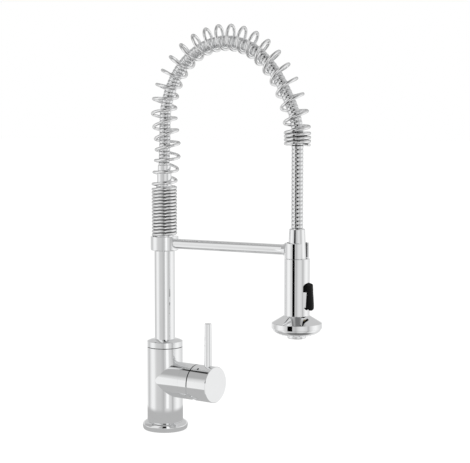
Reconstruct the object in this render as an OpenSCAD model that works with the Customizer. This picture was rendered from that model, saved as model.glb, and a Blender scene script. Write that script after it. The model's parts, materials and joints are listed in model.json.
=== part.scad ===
// Spring-neck pre-rinse kitchen faucet with a side lever and a docked spray head.
// Millimetres, +Z up. The origin is the centre of the face that sits on the deck.
// At rest the spout points along +X, and the lever side is turned by lever_turn from it.

/* [Deck flange] */
// Outer diameter of the rounded flange
flange_d = 61.8; // [58:0.2:76]
// Height of the flange
flange_h = 11.6; // [9:0.2:13]
// Diameter of the body's foot inside the flange
foot_d = 44; // [42:0.5:46]
// Height of the flange shelf that carries the body
shelf_h = 7; // [5:0.5:8]
// Section of the square deck seal
seal_w = 1.8; // [1.2:0.1:2.2]

/* [Valve body] */
// Diameter of the body
body_d = 48.8; // [48.8:0.2:56]
// Height of the seam under the swivel collar
body_h = 113.8; // [112:0.5:130]
// Height of the valve axis above the deck
valve_z = 70.6; // [68:0.2:74]
// Angle from the spout's rest direction to the lever side
lever_turn = -5; // [-60:5:60]
// Diameter of the side housing and the lever cap
housing_d = 48.6; // [48:0.2:48.6]
// Distance from the column axis to the seam behind the cap
seam_r = 54.4; // [54:0.2:60]
// Length of the sleeve that turns with the lever
sleeve_len = 14; // [13:0.2:15]

/* [Inlets and fixing] */
// Wall radius of the threaded inlets
inlet_r = 4.5; // [4:0.1:5]
// Depth of the inlet threads
inlet_depth = 14; // [10:1:18]
// Distance of the inlets to the front of the body's axis
inlet_x = 9; // [8:0.5:10]
// Distance of each inlet from the middle plane
inlet_y = 8; // [7.5:0.5:9]
// Wall radius of the water passages
passage_r = 3; // [2:0.2:3.4]
// Wall radius of the threaded hole for the fixing stud
stud_r = 3.4; // [2.5:0.1:4]
// Depth of the stud hole
stud_depth = 20; // [12:1:30]
// Distance of the stud hole behind the body's axis
stud_x = 11; // [10:0.5:13]

/* [Cartridge] */
// Diameter of the cartridge
cartridge_d = 35; // [34:0.2:36]
// Height of the cartridge base
base_h = 4; // [3.5:0.1:4.5]
// Thickness of the fixed ceramic disc
fixed_disc_h = 4; // [3:0.2:4.4]
// Thickness of the moving ceramic disc
moving_disc_h = 3; // [2.4:0.2:3.4]
// Diameter of the moving ceramic disc
moving_disc_d = 18; // [16:0.5:19]
// Diameter of the stem
stem_d = 8; // [7:0.2:8.4]
// Diameter of the pin that the stem tilts on
pivot_pin_d = 3; // [2.5:0.1:3.4]
// Radius of the ball surface behind the cap
dome_r = 22.8; // [22.4:0.1:22.8]
// Opening angle of the wedge under the cap
wedge = 25; // [20:1:26]

/* [Lever] */
// Length of the cap from the seam to its face
cap_len = 32; // [30:0.5:40]
// Wall of the cap
cap_wall = 1.3; // [1:0.1:1.3]
// Distance from the column axis to the rod
rod_r = 74; // [72:0.5:77]
// Diameter of the rod at the cap
rod_d = 10.5; // [9:0.1:12]
// Diameter of the rod's tip
rod_tip_d = 9.2; // [7:0.1:9.4]
// Height of the rod's tip above the valve axis
rod_len = 81.8; // [60:1:110]
// Diameter of the cap's set screw
set_screw_d = 3; // [2.5:0.1:3.5]

/* [Column] */
// Diameter of the column
column_d = 28; // [26:0.2:29]
// Wall of the column
column_wall = 2.5; // [2:0.1:3]
// Height of the swivel collar's wall above its seam
collar_h = 8; // [5:0.5:10]
// Height of the dome on the swivel collar
collar_dome = 2.8; // [1:0.2:4]
// Height of the underside of the arm collar
arm_collar_z = 246.25; // [242:0.25:250]
// Height of the arm collar
arm_collar_h = 19.5; // [17:0.5:24]
// Diameter of the arm collar
arm_collar_d = 38.2; // [36:0.2:42]
// Diameter of the spring seat above the arm collar
seat_d = 25.6; // [24:0.1:25.6]
// Length of the spring seat
seat_len = 66; // [62:1:67]
// Diameter of the stem above the spring seat
adapter_d = 19.8; // [19:0.1:21]
// Height of the adapter's top above the arm collar
adapter_len = 88; // [84:1:92]
// Diameter of the lower hose ferrule
ferrule_d = 17.7; // [17.3:0.1:19]
// Length of the lower hose ferrule
ferrule_len = 9; // [7:0.5:12]

/* [Arm and dock] */
// Distance from the column axis to the spray head's axis
reach = 204; // [190:1:230]
// Diameter of the arm
arm_d = 13.8; // [12:0.2:14.2]
// Height of the dock ring
dock_h = 19.6; // [16:0.2:20]
// Outer diameter of the dock ring
dock_d = 32.6; // [32:0.2:36]
// Wall of the dock ring
dock_wall = 3; // [2.6:0.1:3]
// Thickness of the dock's liner
liner_t = 0.9; // [0.7:0.1:1]
// Opening angle of the dock ring
dock_gap = 82; // [81:1:90]

/* [Spring and hose] */
// Diameter of the spring wire
wire_d = 4.1; // [3.6:0.1:4.2]
// Outer diameter of the close coils on the seat
coil_d = 34.8; // [34.8:0.2:37]
// Outer diameter of the open coils in the arch
arch_coil_d = 35.8; // [35.6:0.2:38]
// Close turns on the seat
seat_turns = 14; // [13:1:15]
// Open turns in the arch
open_turns = 25.35; // [20:0.05:30]
// Close turns at the free end
end_turns = 3.5; // [3:0.5:5]
// Pitch of the close turns
close_pitch = 4.4; // [4.3:0.1:4.6]
// Pitch of the turns at the free end
end_pitch = 4.8; // [4.4:0.1:5.2]
// Height at which the arch starts
arch_z = 430; // [420:0.5:440]
// Radius of the arch's shoulder above the column
near_r = 101.5; // [96:0.5:106]
// Angle of the shoulder
near_turn = 64; // [50:1:70]
// Radius of the arch's top
top_r = 89.5; // [86:0.5:94]
// Angle of the arch's top
top_turn = 68; // [60:1:76]
// Sideways bow of the rising limb
limb_bow = 5.8; // [0:0.2:6]
// Outer diameter of the hose
hose_d = 15.6; // [14:0.1:16]
// Distance that the hose hangs inside the arch
hose_sag = 5.2; // [3:0.2:5.2]

/* [Spray head] */
// Diameter of the head
head_d = 33; // [32:0.5:34]
// Length of the head down to the joint with the bell
head_len = 73.5; // [72:0.1:75]
// Diameter of the bell
bell_d = 65; // [60:0.5:72]
// Height of the bell's cone
bell_cone_h = 9.5; // [7:0.1:11]
// Height of the bell's rim
bell_rim_h = 7; // [6:0.2:9]
// Depth of the spray plate under the rim
plate_drop = 9.1; // [7:0.1:10]
// Diameter of the aerator ring
aerator_d = 25.2; // [24:0.2:27]
// Height of the aerator ring under the spray plate
aerator_drop = 4; // [3:0.2:6]
// Nozzles in each ring of the spray plate
nozzles = 20; // [12:1:24]
// Diameter of a nozzle
nozzle_d = 2; // [1.6:0.1:2.4]
// Top diameter of the neck
neck_top_d = 20.6; // [19.6:0.2:21]
// Height of the neck's top above the head
neck_h = 37.8; // [34:0.2:40]

/* [Rocker] */
// Width of the rocker
rocker_w = 18; // [16:0.5:18]
// Distance from the head's top down to the rocker's top
rocker_drop = 30.8; // [30:0.2:32]
// Height of the rocker
rocker_h = 35.4; // [33:0.2:36]
// Distance from the head axis to the rocker's inner face
rocker_in = 19.5; // [19:0.1:20]
// Thickness of the rocker's plate
rocker_t = 2.7; // [2:0.1:3.4]
// Distance from the head axis to the pad behind the rocker
pad_r = 17.4; // [17:0.1:17.6]

/* [Clearances] */
// Radial clearance of a running fit
run_gap = 0.05; // [0.03:0.01:0.08]
// Clearance between parts that don't touch
free_gap = 0.3; // [0.2:0.05:0.4]

/* [Hidden] */
$fn = 96;
edge_break = 0.5;                       // chamfer on visible turned edges
chrome = "gainsboro";
brass = "goldenrod";
rubber = "dimgray";
plastic = "ivory";
past = 40;                              // length of cutters that pass right through

// Heights on the body and the column.
bore_depth = 28;
bore_z = body_h - bore_depth;           // bottom of the column's bore
bush_z = body_h - 11;                   // bottom of the swivel bush
groove_z = bush_z - 5;                  // middle of the groove for the retaining screw
groove_h = 3;
groove_depth = 1.2;
washer_h = 0.5;
collar_z = body_h + washer_h + run_gap;
o_ring_d = 2.2;
o_ring_zs = [bore_z + 4, bore_z + 9];
column_r = column_d / 2;
column_in = column_r - column_wall;
body_r = body_d / 2;
arm_z = arm_collar_z + arm_collar_h / 2;
seat_z = arm_collar_z + arm_collar_h;
adapter_z = seat_z + adapter_len;

// Distances along the valve axis, counted from the column axis.
housing_r = housing_d / 2;
housing_end = seam_r - sleeve_len;
cartridge_r = cartridge_d / 2;
nut_end = seam_r - 6.2;
nut_h = 6;
shoulder = nut_end - nut_h;
neck_end = shoulder + 3.4;
nut_r = 18.8;
cartridge_neck_r = 15.6;
cartridge_seat = seam_r - 31.4;
disc_z = cartridge_seat + base_h;
sliding_z = disc_z + fixed_disc_h;
carrier_z = sliding_z + 0.02 + moving_disc_h;
carrier_h = 4;
turn_z = carrier_z + carrier_h + free_gap;
turn_flange_h = 2;
turn_r = 12.5;
turn_flange_r = 14;
turn_end = seam_r + 4;
cavity_r = 14.6;
sleeve_in = housing_r - 2.9;
sleeve_fit = run_gap;
dome_back = seam_r - 5.6;
dome_web = 1.2;
dome_front = seam_r + 9;
dome_t = 1.2;
slot_x = 9.6;                           // half length of the stem's slot
slot_y = stem_d / 2 + 0.1;
ball_r = 2.9;
ball_z = carrier_z + ball_r + free_gap;
tilt_arm = seam_r - ball_z;             // from the tilt axis to the ball
tilt_range = 22;
disc_start = tilt_arm * sin(tilt_range) / 2;   // the disc starts this far below the axis
outlet_x = 8.5;
port_x = 6.5;
cap_in = housing_r - cap_wall;
cap_end = seam_r + cap_len;
cap_face = 2.8;
hub_z = seam_r + 8.6;
hub_r = 9.5;
hub_end = cap_end - cap_face;
screw_at = seam_r + 11.6;               // set screw's distance along the axis
screw_turn = 30;                        // set screw's angle from the top
stud_len = 11;
rod_foot = cap_in - 0.1;

// Arm and dock.
dock_z = arm_z - dock_h / 2;
dock_in = dock_d / 2 - dock_wall;
liner_in = dock_in - liner_t;
dock_top = dock_z + dock_h;
arm_end = reach - dock_d / 2 - 1.5;

// Spring and hose route: a rising limb, three arcs and a short falling limb.
wire_r = wire_d / 2;
far_from = near_turn + top_turn;        // turn at which the far arc starts
near_x = near_r * (1 - cos(near_turn));
top_x = near_x + top_r * (cos(near_turn) - cos(far_from));
near_end_z = arch_z + near_r * sin(near_turn);
top_end_z = near_end_z + top_r * (sin(far_from) - sin(near_turn));
far_r = (reach - top_x) / (1 + cos(far_from));
far_end_z = top_end_z - far_r * sin(far_from);
limb_len = arch_z - seat_z;
near_len = near_r * near_turn * PI / 180;
top_len = top_r * top_turn * PI / 180;
far_len = far_r * (180 - far_from) * PI / 180;
route_len = limb_len + near_len + top_len + far_len;
close_end = wire_r + seat_turns * close_pitch;
end_start = route_len - 7.4;            // the turns at the free end start a little above the arc's end
turn_steps = 14;
wire_sides = 6;
// Open pitch against the number of the open turn, before it is fitted to the arch.
pitches = [[0, 4.5], [0.7, 5.8], [1.3, 15.1], [2.5, 16.2], [4.5, 16.2], [7, 16.7], [9.5, 18.4],
           [12, 20], [14, 16.9], [16, 16.1], [18, 16.9], [20, 19.3], [22, 19.6], [24, 21.1],
           [24.8, 16.1], [25.35, 6.3]];
spring_phase = 20;
bow_len = 109;
end_tilt = 1.5;                         // the turns at the free end lean by this angle
guide_bore = hose_d / 2 + free_gap;
coil_in = (coil_d / 2 - wire_r) * cos(180 / turn_steps) - wire_r;   // inside its straight steps
guide_r = coil_in - 0.4;
guide_top = far_end_z + 5;
guide_low = far_end_z + 7.4 - end_turns * end_pitch + wire_r;
hose_foot = adapter_z - 18;
hose_sides = 12;
hose_step = 11;

// Head.
head_top_z = dock_z - free_gap;
bell_joint_z = head_top_z - head_len;
head_r = head_d / 2;
hose_tip_z = head_top_z + 17;
neck_base_r = 11.7;
neck_mid_r = 11;
neck_mid_z = head_top_z + 21.5;
neck_top_z = head_top_z + neck_h;
spigot_r = 8.9;
spigot_len = 18;
bore_floor = head_top_z - 21;
clip_z = head_top_z - 14;
clip_h = 1.2;
clip_depth = 1.1;
filter_h = 1.4;
core_r = 8;
chamber_r = 12;
chamber_top = bell_joint_z + 22;
chamber_low = bell_joint_z + 5;
rim_z = bell_joint_z - bell_cone_h;
plate_z = rim_z - bell_rim_h;
bell_r = bell_d / 2;
bell_wall = 2;
nipple_r = 13.9;
nipple_in = 10.6;
tube_r = 6;
tube_end = plate_z - plate_drop + 12;
aerator_r = aerator_d / 2;
aerator_z = plate_z - plate_drop;
plate_r = bell_r - 1.1;
nozzle_rings = [plate_r * 0.6, plate_r * 0.78];

// Rocker.
rocker_top_z = head_top_z - rocker_drop;
rocker_low_z = rocker_top_z - rocker_h;
rocker_pin_z = rocker_top_z - 4.5;
rocker_pin_x = 12.5;
rocker_pin_d = 2;
block_low = rocker_top_z - 10.5;
pad_top = block_low - 0.8;
pad_low = rocker_low_z + 4.5;
tongue_w = 8;
pocket_w = 15.4;
pocket_x = 9.2;
block_in = 14;
crown_r = 24;
rocker_lean = 3.4;
plunger_z = pad_low + 7;
plunger_d = 4.4;
plunger_in = 5;

// ---------- helpers ----------

// A turned bar with a small chamfer at either end.
module bar(r, h, low = edge_break, high = edge_break) {
  rotate_extrude()
    polygon([[0, 0], [r - low, 0], [r, low], [r, h - high], [r - high, h], [0, h]]);
}

module ring(outer, inner, h) {
  difference() {
    cylinder(r = outer, h = h);
    translate([0, 0, -1]) cylinder(r = inner, h = h + 2);
  }
}

module o_ring(major, d) {
  rotate_extrude() translate([major, 0]) circle(d = d, $fn = 32);
}

// Local frame on the valve axis: Z runs outwards, -X is up.
module on_valve() {
  translate([0, 0, valve_z]) rotate([0, 0, lever_turn]) rotate([0, 90, 0]) children();
}

module at_head(z = 0) {
  translate([reach, 0, z]) children();
}

// ---------- base ----------

module deck_flange() color(chrome) {
  edge = flange_h / 2;
  toe = 3.2;
  difference() {
    rotate_extrude() hull() {
      square([flange_d / 2 - edge, flange_h]);
      translate([flange_d / 2 - edge, edge]) circle(r = edge);
      translate([flange_d / 2 - toe - 0.4, toe]) circle(r = toe);
    }
    translate([0, 0, shelf_h]) cylinder(r = body_r + run_gap, h = flange_h);
    translate([0, 0, -1]) cylinder(r = foot_d / 2 + run_gap, h = flange_h);
    translate([0, 0, -1]) ring(seal_out(), seal_out() - seal_w, seal_w + 1);
  }
}

function seal_out() = flange_d / 2 - flange_h / 2;

module deck_seal() color(rubber) ring(seal_out(), seal_out() - seal_w, seal_w);

module valve_body() color(chrome) {
  difference() {
    union() {
      cylinder(d = foot_d, h = shelf_h + 1);
      translate([0, 0, shelf_h]) bar(body_r, body_h - shelf_h, 0.2, 0.3);
      on_valve() cylinder(r = housing_r, h = housing_end);
      on_valve() cylinder(r = sleeve_in - sleeve_fit, h = nut_end);
    }
    translate([0, 0, bore_z]) cylinder(r = column_r + run_gap, h = body_h);
    translate([0, 0, bush_z]) cylinder(r = column_r + 3, h = body_h);
    translate([0, 0, valve_z + outlet_x - 4]) cylinder(r = 7.5, h = bore_z - valve_z - outlet_x + 5);
    rotate([0, 0, lever_turn]) {
      for (side = [-1, 1]) translate([inlet_x, side * inlet_y, 0]) {
        translate([0, 0, -1]) cylinder(r = inlet_r, h = inlet_depth + 1);
        cylinder(r = passage_r, h = valve_z - port_x);
      }
      translate([-stud_x, 0, -1]) cylinder(r = stud_r, h = stud_depth + 1);
      translate([0, 0, groove_z]) rotate([0, -90, 0]) cylinder(r = 2.5, h = body_r + 1);
    }
    on_valve() {
      translate([0, 0, cartridge_seat]) cylinder(r = cartridge_r + free_gap, h = seam_r);
      translate([0, 0, shoulder - free_gap]) cylinder(r = nut_r, h = seam_r);
      translate([-outlet_x, 0, 0]) cylinder(r = 4, h = cartridge_seat + 1);
      for (side = [-1, 1]) translate([port_x, side * inlet_y, inlet_x])
        cylinder(r = passage_r, h = cartridge_seat);
    }
  }
}

module swivel_bush() color(plastic)
  translate([0, 0, bush_z]) ring(column_r + 3, column_r + run_gap, body_h - bush_z);

module thrust_washer() color(rubber)
  translate([0, 0, body_h]) ring(body_r - 0.9, column_r + run_gap, washer_h);

// Grub screw from behind, whose tip runs in the column's groove.
module retaining_screw() color(brass)
  rotate([0, 0, lever_turn]) translate([0, 0, groove_z]) rotate([0, -90, 0]) difference() {
    union() {
      translate([0, 0, column_r + 0.4]) cylinder(r = 2.45, h = body_r - column_r - 1.4);
      translate([0, 0, column_r - groove_depth + 0.2]) cylinder(r = 1.2, h = groove_depth + 1);
    }
    translate([0, 0, body_r - 3]) cylinder(r = 1.25, h = 3, $fn = 6);
  }

// ---------- cartridge ----------

function ports() = [[port_x, -inlet_y, 3], [port_x, inlet_y, 3], [-outlet_x, 0, 3.6]];

module cartridge_seals() color(rubber) on_valve()
  for (p = ports()) translate([p[0], p[1], cartridge_seat + 0.95]) o_ring(p[2] + 1.3, 1.9);

module cartridge_base() color(plastic) on_valve() difference() {
  translate([0, 0, cartridge_seat]) cylinder(r = cartridge_r, h = base_h);
  for (p = ports()) translate([p[0], p[1], cartridge_seat - 1]) {
    cylinder(r = p[2], h = base_h + 2);
    cylinder(r = p[2] + 2.35, h = 2.9);
  }
}

module fixed_disc() color("whitesmoke") on_valve() difference() {
  translate([0, 0, disc_z]) cylinder(r = cavity_r - run_gap, h = fixed_disc_h);
  for (p = ports()) translate([p[0], p[1], disc_z - 1]) cylinder(r = p[2], h = fixed_disc_h + 2);
}

module cartridge_body() color(plastic) on_valve() difference() {
  union() {
    translate([0, 0, disc_z]) cylinder(r = cartridge_r, h = shoulder - disc_z);
    translate([0, 0, shoulder - 1]) cylinder(r = cartridge_neck_r, h = neck_end - shoulder + 1);
  }
  translate([0, 0, disc_z - 1]) cylinder(r = cavity_r, h = turn_z + turn_flange_h + free_gap + 1 - disc_z);
  translate([0, 0, disc_z]) cylinder(r = turn_r + run_gap, h = seam_r);
}

module cartridge_nut() color(brass) on_valve() difference() {
  translate([0, 0, shoulder]) ring(nut_r, cartridge_neck_r + run_gap, nut_h);
  for (a = [45, 135]) rotate([0, 0, a]) translate([-past / 2, -1.5, nut_end - 1.5]) cube([past, 3, 3]);
}

// ---------- sliding disc ----------

module moving_disc() color("whitesmoke") on_valve() difference() {
  translate([disc_start, 0, sliding_z + 0.02]) cylinder(d = moving_disc_d, h = moving_disc_h);
  translate([disc_start - 3, 0, sliding_z - 1]) cylinder(r = 4, h = 2.6);
}

module disc_carrier() color(plastic) on_valve() difference() {
  translate([disc_start, 0, carrier_z]) cylinder(d = moving_disc_d, h = carrier_h);
  translate([0, 0, carrier_z - 1]) cylinder(r = ball_r + 0.3, h = carrier_h + 2);
}

// ---------- turning carrier, dome and sleeve ----------

module turn_carrier() color(plastic) on_valve() difference() {
  union() {
    translate([0, 0, turn_z]) cylinder(r = turn_flange_r, h = turn_flange_h);
    translate([0, 0, turn_z]) cylinder(r = turn_r, h = turn_end - turn_z);
  }
  translate([-slot_x, -slot_y, turn_z - 1]) cube([2 * slot_x, 2 * slot_y, turn_end - turn_z + 2]);
  translate([0, 0, seam_r]) rotate([90, 0, 0]) cylinder(d = pivot_pin_d, h = past, center = true);
}

module pivot_pin() color("silver") on_valve()
  translate([0, 0, seam_r]) rotate([90, 0, 0])
    cylinder(d = pivot_pin_d, h = 2 * turn_r - 1.4, center = true);

module trim_dome() color(chrome) on_valve() {
  difference() {
    translate([0, 0, seam_r]) sphere(r = dome_r);
    translate([0, 0, seam_r]) sphere(r = dome_r - dome_t);
    translate([0, 0, -1]) cylinder(r = past, h = dome_back + 1);
    translate([0, 0, dome_front]) cylinder(r = past, h = past);
  }
  translate([0, 0, dome_back])
    ring(sqrt(pow(dome_r - dome_t / 2, 2) - pow(seam_r - dome_back, 2)), turn_r, dome_web);
}

// The sleeve's half of the wedge that lets the cap tilt; the cap has the other half.
module turn_sleeve() color(chrome) on_valve() difference() {
  translate([0, 0, housing_end + run_gap]) cylinder(r = housing_r, h = sleeve_len - run_gap);
  translate([0, 0, housing_end - 1]) cylinder(r = sleeve_in, h = sleeve_len + 2);
  translate([0, 0, seam_r]) sphere(r = dome_r);
  translate([0, 0, seam_r]) rotate([0, wedge / 2, 0]) translate([0, -past, 0]) cube(2 * past);
}

// ---------- lever ----------

module stem() color(brass) on_valve() difference() {
  union() {
    translate([0, 0, ball_z]) sphere(r = ball_r);
    translate([0, 0, ball_z]) cylinder(r = 2.2, h = tilt_arm);
    translate([0, 0, seam_r - 4]) cylinder(d = stem_d, h = hub_end - 3 - seam_r + 4);
  }
  translate([0, 0, seam_r]) rotate([90, 0, 0])
    cylinder(d = pivot_pin_d + 2 * run_gap, h = 20, center = true);
}

module handle_hub() color(brass) on_valve() difference() {
  union() {
    translate([0, 0, hub_z]) cylinder(r = 7, h = hub_end - hub_z);
    translate([0, 0, seam_r + 14.6]) cylinder(r = hub_r, h = hub_end - seam_r - 14.6);
    intersection() {
      translate([0, 0, rod_r]) rotate([0, -90, 0]) cylinder(r = 7.5, h = rod_foot + 1);
      translate([0, 0, seam_r]) cylinder(r = rod_foot, h = cap_len);
    }
  }
  translate([0, 0, hub_z - 1]) cylinder(d = stem_d, h = hub_end - 2 - hub_z);
  translate([0, 0, rod_r]) rotate([0, -90, 0])
    translate([0, 0, rod_foot - stud_len]) cylinder(r = 3, h = stud_len + 1);
  on_screw() cylinder(d = set_screw_d, h = housing_r);
}

// Local frame of the set screw, on the near side of the rod.
module on_screw() {
  rotate([0, 0, screw_turn]) translate([0, 0, screw_at]) rotate([0, -90, 0]) children();
}

module lever_cap() color(chrome) on_valve() difference() {
  translate([0, 0, seam_r + 0.4]) bar(housing_r, cap_len - 0.4, 0.2, 0.7);
  translate([0, 0, seam_r - 1]) cylinder(r = cap_in, h = hub_end - seam_r + 1);
  translate([0, 0, rod_r]) rotate([0, -90, 0]) cylinder(d = rod_d + 2 * run_gap, h = housing_r + 1);
  on_screw() cylinder(d = set_screw_d + 0.2, h = housing_r + 1);
  translate([0, 0, seam_r + 0.4]) rotate([0, -wedge / 2, 0]) translate([0, -past, -2 * past]) cube(2 * past);
}

module lever_rod() color(chrome) on_valve() translate([0, 0, rod_r]) rotate([0, -90, 0]) {
  tip = rod_tip_d / 2;
  rotate_extrude()
    polygon([[0, rod_foot - stud_len + 0.5], [3, rod_foot - stud_len + 0.5], [3, rod_foot],
             [rod_d / 2, rod_foot], [rod_d / 2, housing_r + 1], [tip, rod_len - 0.6],
             [tip - 0.6, rod_len], [0, rod_len]]);
}

module cap_set_screw() color("dimgray") on_valve() on_screw() difference() {
  translate([0, 0, stem_d / 2]) cylinder(d = set_screw_d, h = 6);
  translate([0, 0, stem_d / 2 + 4.5]) cylinder(r = 0.8, h = 3, $fn = 6);
}

// ---------- swivelling spout ----------

module column() color(chrome) difference() {
  translate([0, 0, bore_z + 0.5]) cylinder(r = column_r, h = seat_z - bore_z - 0.5);
  translate([0, 0, bore_z]) cylinder(r = column_in, h = seat_z);
  for (z = o_ring_zs) translate([0, 0, z - o_ring_d / 2 - 0.1])
    ring(column_r + 1, column_r - 1.6, o_ring_d + 0.2);
  translate([0, 0, groove_z - groove_h / 2]) ring(column_r + 1, column_r - groove_depth, groove_h);
  translate([0, 0, arm_z]) rotate([0, -90, 0]) cylinder(r = 1.6, h = column_r + 1);
}

module column_o_rings() color(rubber)
  for (z = o_ring_zs) translate([0, 0, z])
    rotate_extrude() translate([column_r - 0.8, 0]) scale(0.72) circle(d = o_ring_d, $fn = 32);

// The collar's top is a flat dome round the column.
module swivel_collar() color(chrome) translate([0, 0, collar_z]) {
  out = body_r - 0.1;
  width = out - 0.3 - column_r;
  dome_r = (width * width + collar_dome * collar_dome) / 2 / collar_dome;
  slope = asin(width / dome_r);
  rotate_extrude() polygon(concat(
    [[column_r, 0], [out - 0.3, 0], [out, 0.3], [out, collar_h - 0.3]],
    [for (k = [12:-1:0]) let (a = slope * k / 12)
      [column_r + dome_r * sin(a), collar_h + collar_dome - dome_r * (1 - cos(a))]]));
}

module arm_collar() color(chrome) difference() {
  translate([0, 0, arm_collar_z]) bar(arm_collar_d / 2, arm_collar_h, 1.2, 0.4);
  translate([0, 0, arm_collar_z - 1]) cylinder(r = column_r, h = arm_collar_h + 2);
  translate([0, 0, arm_z]) rotate([0, 90, 0]) cylinder(d = arm_d, h = arm_collar_d);
  translate([0, 0, arm_z]) rotate([0, -90, 0]) cylinder(r = 2.5, h = arm_collar_d);
}

module collar_screw() color("dimgray") translate([0, 0, arm_z]) rotate([0, -90, 0]) difference() {
  union() {
    translate([0, 0, column_r - 1]) cylinder(r = 1.5, h = 2);
    translate([0, 0, column_r + 0.3]) cylinder(r = 2.45, h = arm_collar_d / 2 - column_r - 0.8);
  }
  translate([0, 0, arm_collar_d / 2 - 2.6]) cylinder(r = 1.25, h = 4, $fn = 6);
}

// Water passes through the seat, on which the spring is pushed, into the hose.
module hose_adapter() color(chrome) difference() {
  rotate_extrude() polygon([
    [0, seat_z - 16], [column_in - run_gap, seat_z - 16], [column_in - run_gap, seat_z],
    [seat_d / 2, seat_z], [seat_d / 2, seat_z + seat_len - 1.5], [seat_d / 2 - 1, seat_z + seat_len],
    [adapter_d / 2, seat_z + seat_len + 2.4], [adapter_d / 2, adapter_z - 0.4],
    [adapter_d / 2 - 0.4, adapter_z], [0, adapter_z]]);
  translate([0, 0, seat_z - 17]) cylinder(r = 5.5, h = adapter_len + 20);
  translate([0, 0, hose_foot]) cylinder(r = hose_d / 2 + run_gap, h = adapter_len);
  translate([0, 0, seat_z - 10]) ring(column_in + 1, column_in - 1.6, o_ring_d + 0.2);
}

module adapter_o_ring() color(rubber) translate([0, 0, seat_z - 10 + o_ring_d / 2 + 0.1])
  rotate_extrude() translate([column_in - 0.81, 0]) scale(0.7) circle(d = o_ring_d, $fn = 32);

module lower_ferrule() color(chrome) translate([0, 0, adapter_z]) difference() {
  bar(ferrule_d / 2, ferrule_len, 0.2, 1);
  translate([0, 0, -1]) cylinder(r = hose_d / 2 + run_gap, h = ferrule_len + 2);
}

module arm() color(chrome) difference() {
  translate([column_r + 1, 0, arm_z]) rotate([0, 90, 0]) cylinder(d = arm_d, h = arm_end - column_r + 2);
  translate([column_r, 0, arm_z]) rotate([0, 90, 0]) cylinder(d = arm_d - 3, h = arm_end - column_r - 3);
}

// A ring open towards the front, so that the hose can be hung into it.
module open_ring(outer, inner, h) {
  middle = (outer + inner) / 2;
  half = dock_gap / 2 + asin((outer - inner) / 2 / middle);
  rotate([0, 0, half]) rotate_extrude(angle = 360 - 2 * half)
    translate([inner, 0]) square([outer - inner, h]);
  for (side = [-1, 1]) rotate([0, 0, side * half]) translate([middle, 0, 0])
    cylinder(d = outer - inner, h = h, $fn = 48);
}

module dock_ring() color(chrome) difference() {
  union() {
    at_head(dock_z) open_ring(dock_d / 2, dock_in, dock_h);
    translate([reach - dock_d / 2 - 3.4, 0, arm_z]) rotate([0, 90, 0])
      cylinder(r1 = arm_d / 2 + 0.5, r2 = arm_d / 2 + 2.2, h = 5.5);
  }
  at_head(dock_z - 1) cylinder(r = dock_in, h = dock_h + 2);
  translate([reach - dock_d, 0, arm_z]) rotate([0, 90, 0])
    cylinder(d = arm_d, h = arm_end + 3 - reach + dock_d);
  at_head(dock_top - 0.9) rotate_extrude()
    polygon([[dock_d / 2 - 0.9, 1.9], [dock_d / 2 + 1, 1.9], [dock_d / 2 + 1, -1]]);
}

module dock_liner() color("gray") at_head(dock_z + 1)
  difference() {
    open_ring(dock_in, liner_in, dock_h - 2);
    translate([0, 0, -1]) cylinder(r = liner_in, h = dock_h);
  }

// ---------- spring and hose ----------

// Place and heading at a distance s along the route: [x, z, heading].
function route(s) =
  s < limb_len ? [0, seat_z + s, 90] :
  s < limb_len + near_len ? near_arc((s - limb_len) / near_r * 180 / PI) :
  s < limb_len + near_len + top_len ? top_arc(near_turn + (s - limb_len - near_len) / top_r * 180 / PI) :
  s < route_len ? far_arc(180 - (route_len - s) / far_r * 180 / PI) :
  [reach, far_end_z - (s - route_len), -90];

function near_arc(a) = [near_r * (1 - cos(a)), arch_z + near_r * sin(a), 90 - a];

function top_arc(a) = [near_x + top_r * (cos(near_turn) - cos(a)),
                       near_end_z + top_r * (sin(a) - sin(near_turn)), 90 - a];

function far_arc(a) = [reach - far_r * (1 + cos(a)), far_end_z + far_r * sin(a), 90 - a];

// Above its close coils the rising limb bows to the inside, and its turns tilt with the bow.
function bow_at(s) = max(0, min(1, (s - close_end) / bow_len));

function bow(s) = limb_bow * pow(sin(180 * bow_at(s)), 2);

function tilt(s) = atan(limb_bow * PI / bow_len * sin(360 * bow_at(s)))
  - blend(0, end_tilt, (s - route_len + 45) / 45);

function outward(h) = [-sin(h), 0, cos(h)];

function centre(s, side, inset) = let (p = route(s)) [p[0] + side, 0, p[1]] - inset * outward(p[2]);

function blend(a, b, t) = let (u = max(0, min(1, t))) a + (b - a) * u * u * (3 - 2 * u);

function coil_r(s) = blend(coil_d, arch_coil_d, (s - close_end) / 25) / 2 - wire_r
  - blend(0, (arch_coil_d - coil_d) / 2, (s - route_len + 60) / 60);

open_steps = round(open_turns * turn_steps);
raw = [for (i = 0, s = 0; i <= open_steps; s = s + lookup((i + 0.5) / turn_steps, pitches), i = i + 1) s];
open_s = [for (v = raw) close_end + v / raw[open_steps] * (end_start - close_end)];
close_s = [for (i = [0:seat_turns * turn_steps - 1]) wire_r + i / turn_steps * close_pitch];
end_s = [for (i = [1:end_turns * turn_steps]) end_start + i / turn_steps * end_pitch];
coil_s = concat(close_s, open_s, end_s);

function coil_point(i) = let (s = coil_s[i]) centre(s, bow(s), 0) + coil_r(s) * coil_way(i);

// Direction from the middle line to step i of the wire.
function coil_way(i) = coil_out(route(coil_s[i])[2] - tilt(coil_s[i]), spring_phase + 360 * i / turn_steps);

function coil_out(h, a) = cos(a) * outward(h) + sin(a) * [0, -1, 0];

function unit(v) = v / norm(v);

coil_path = [for (i = [0:len(coil_s) - 1]) coil_point(i)];

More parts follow.
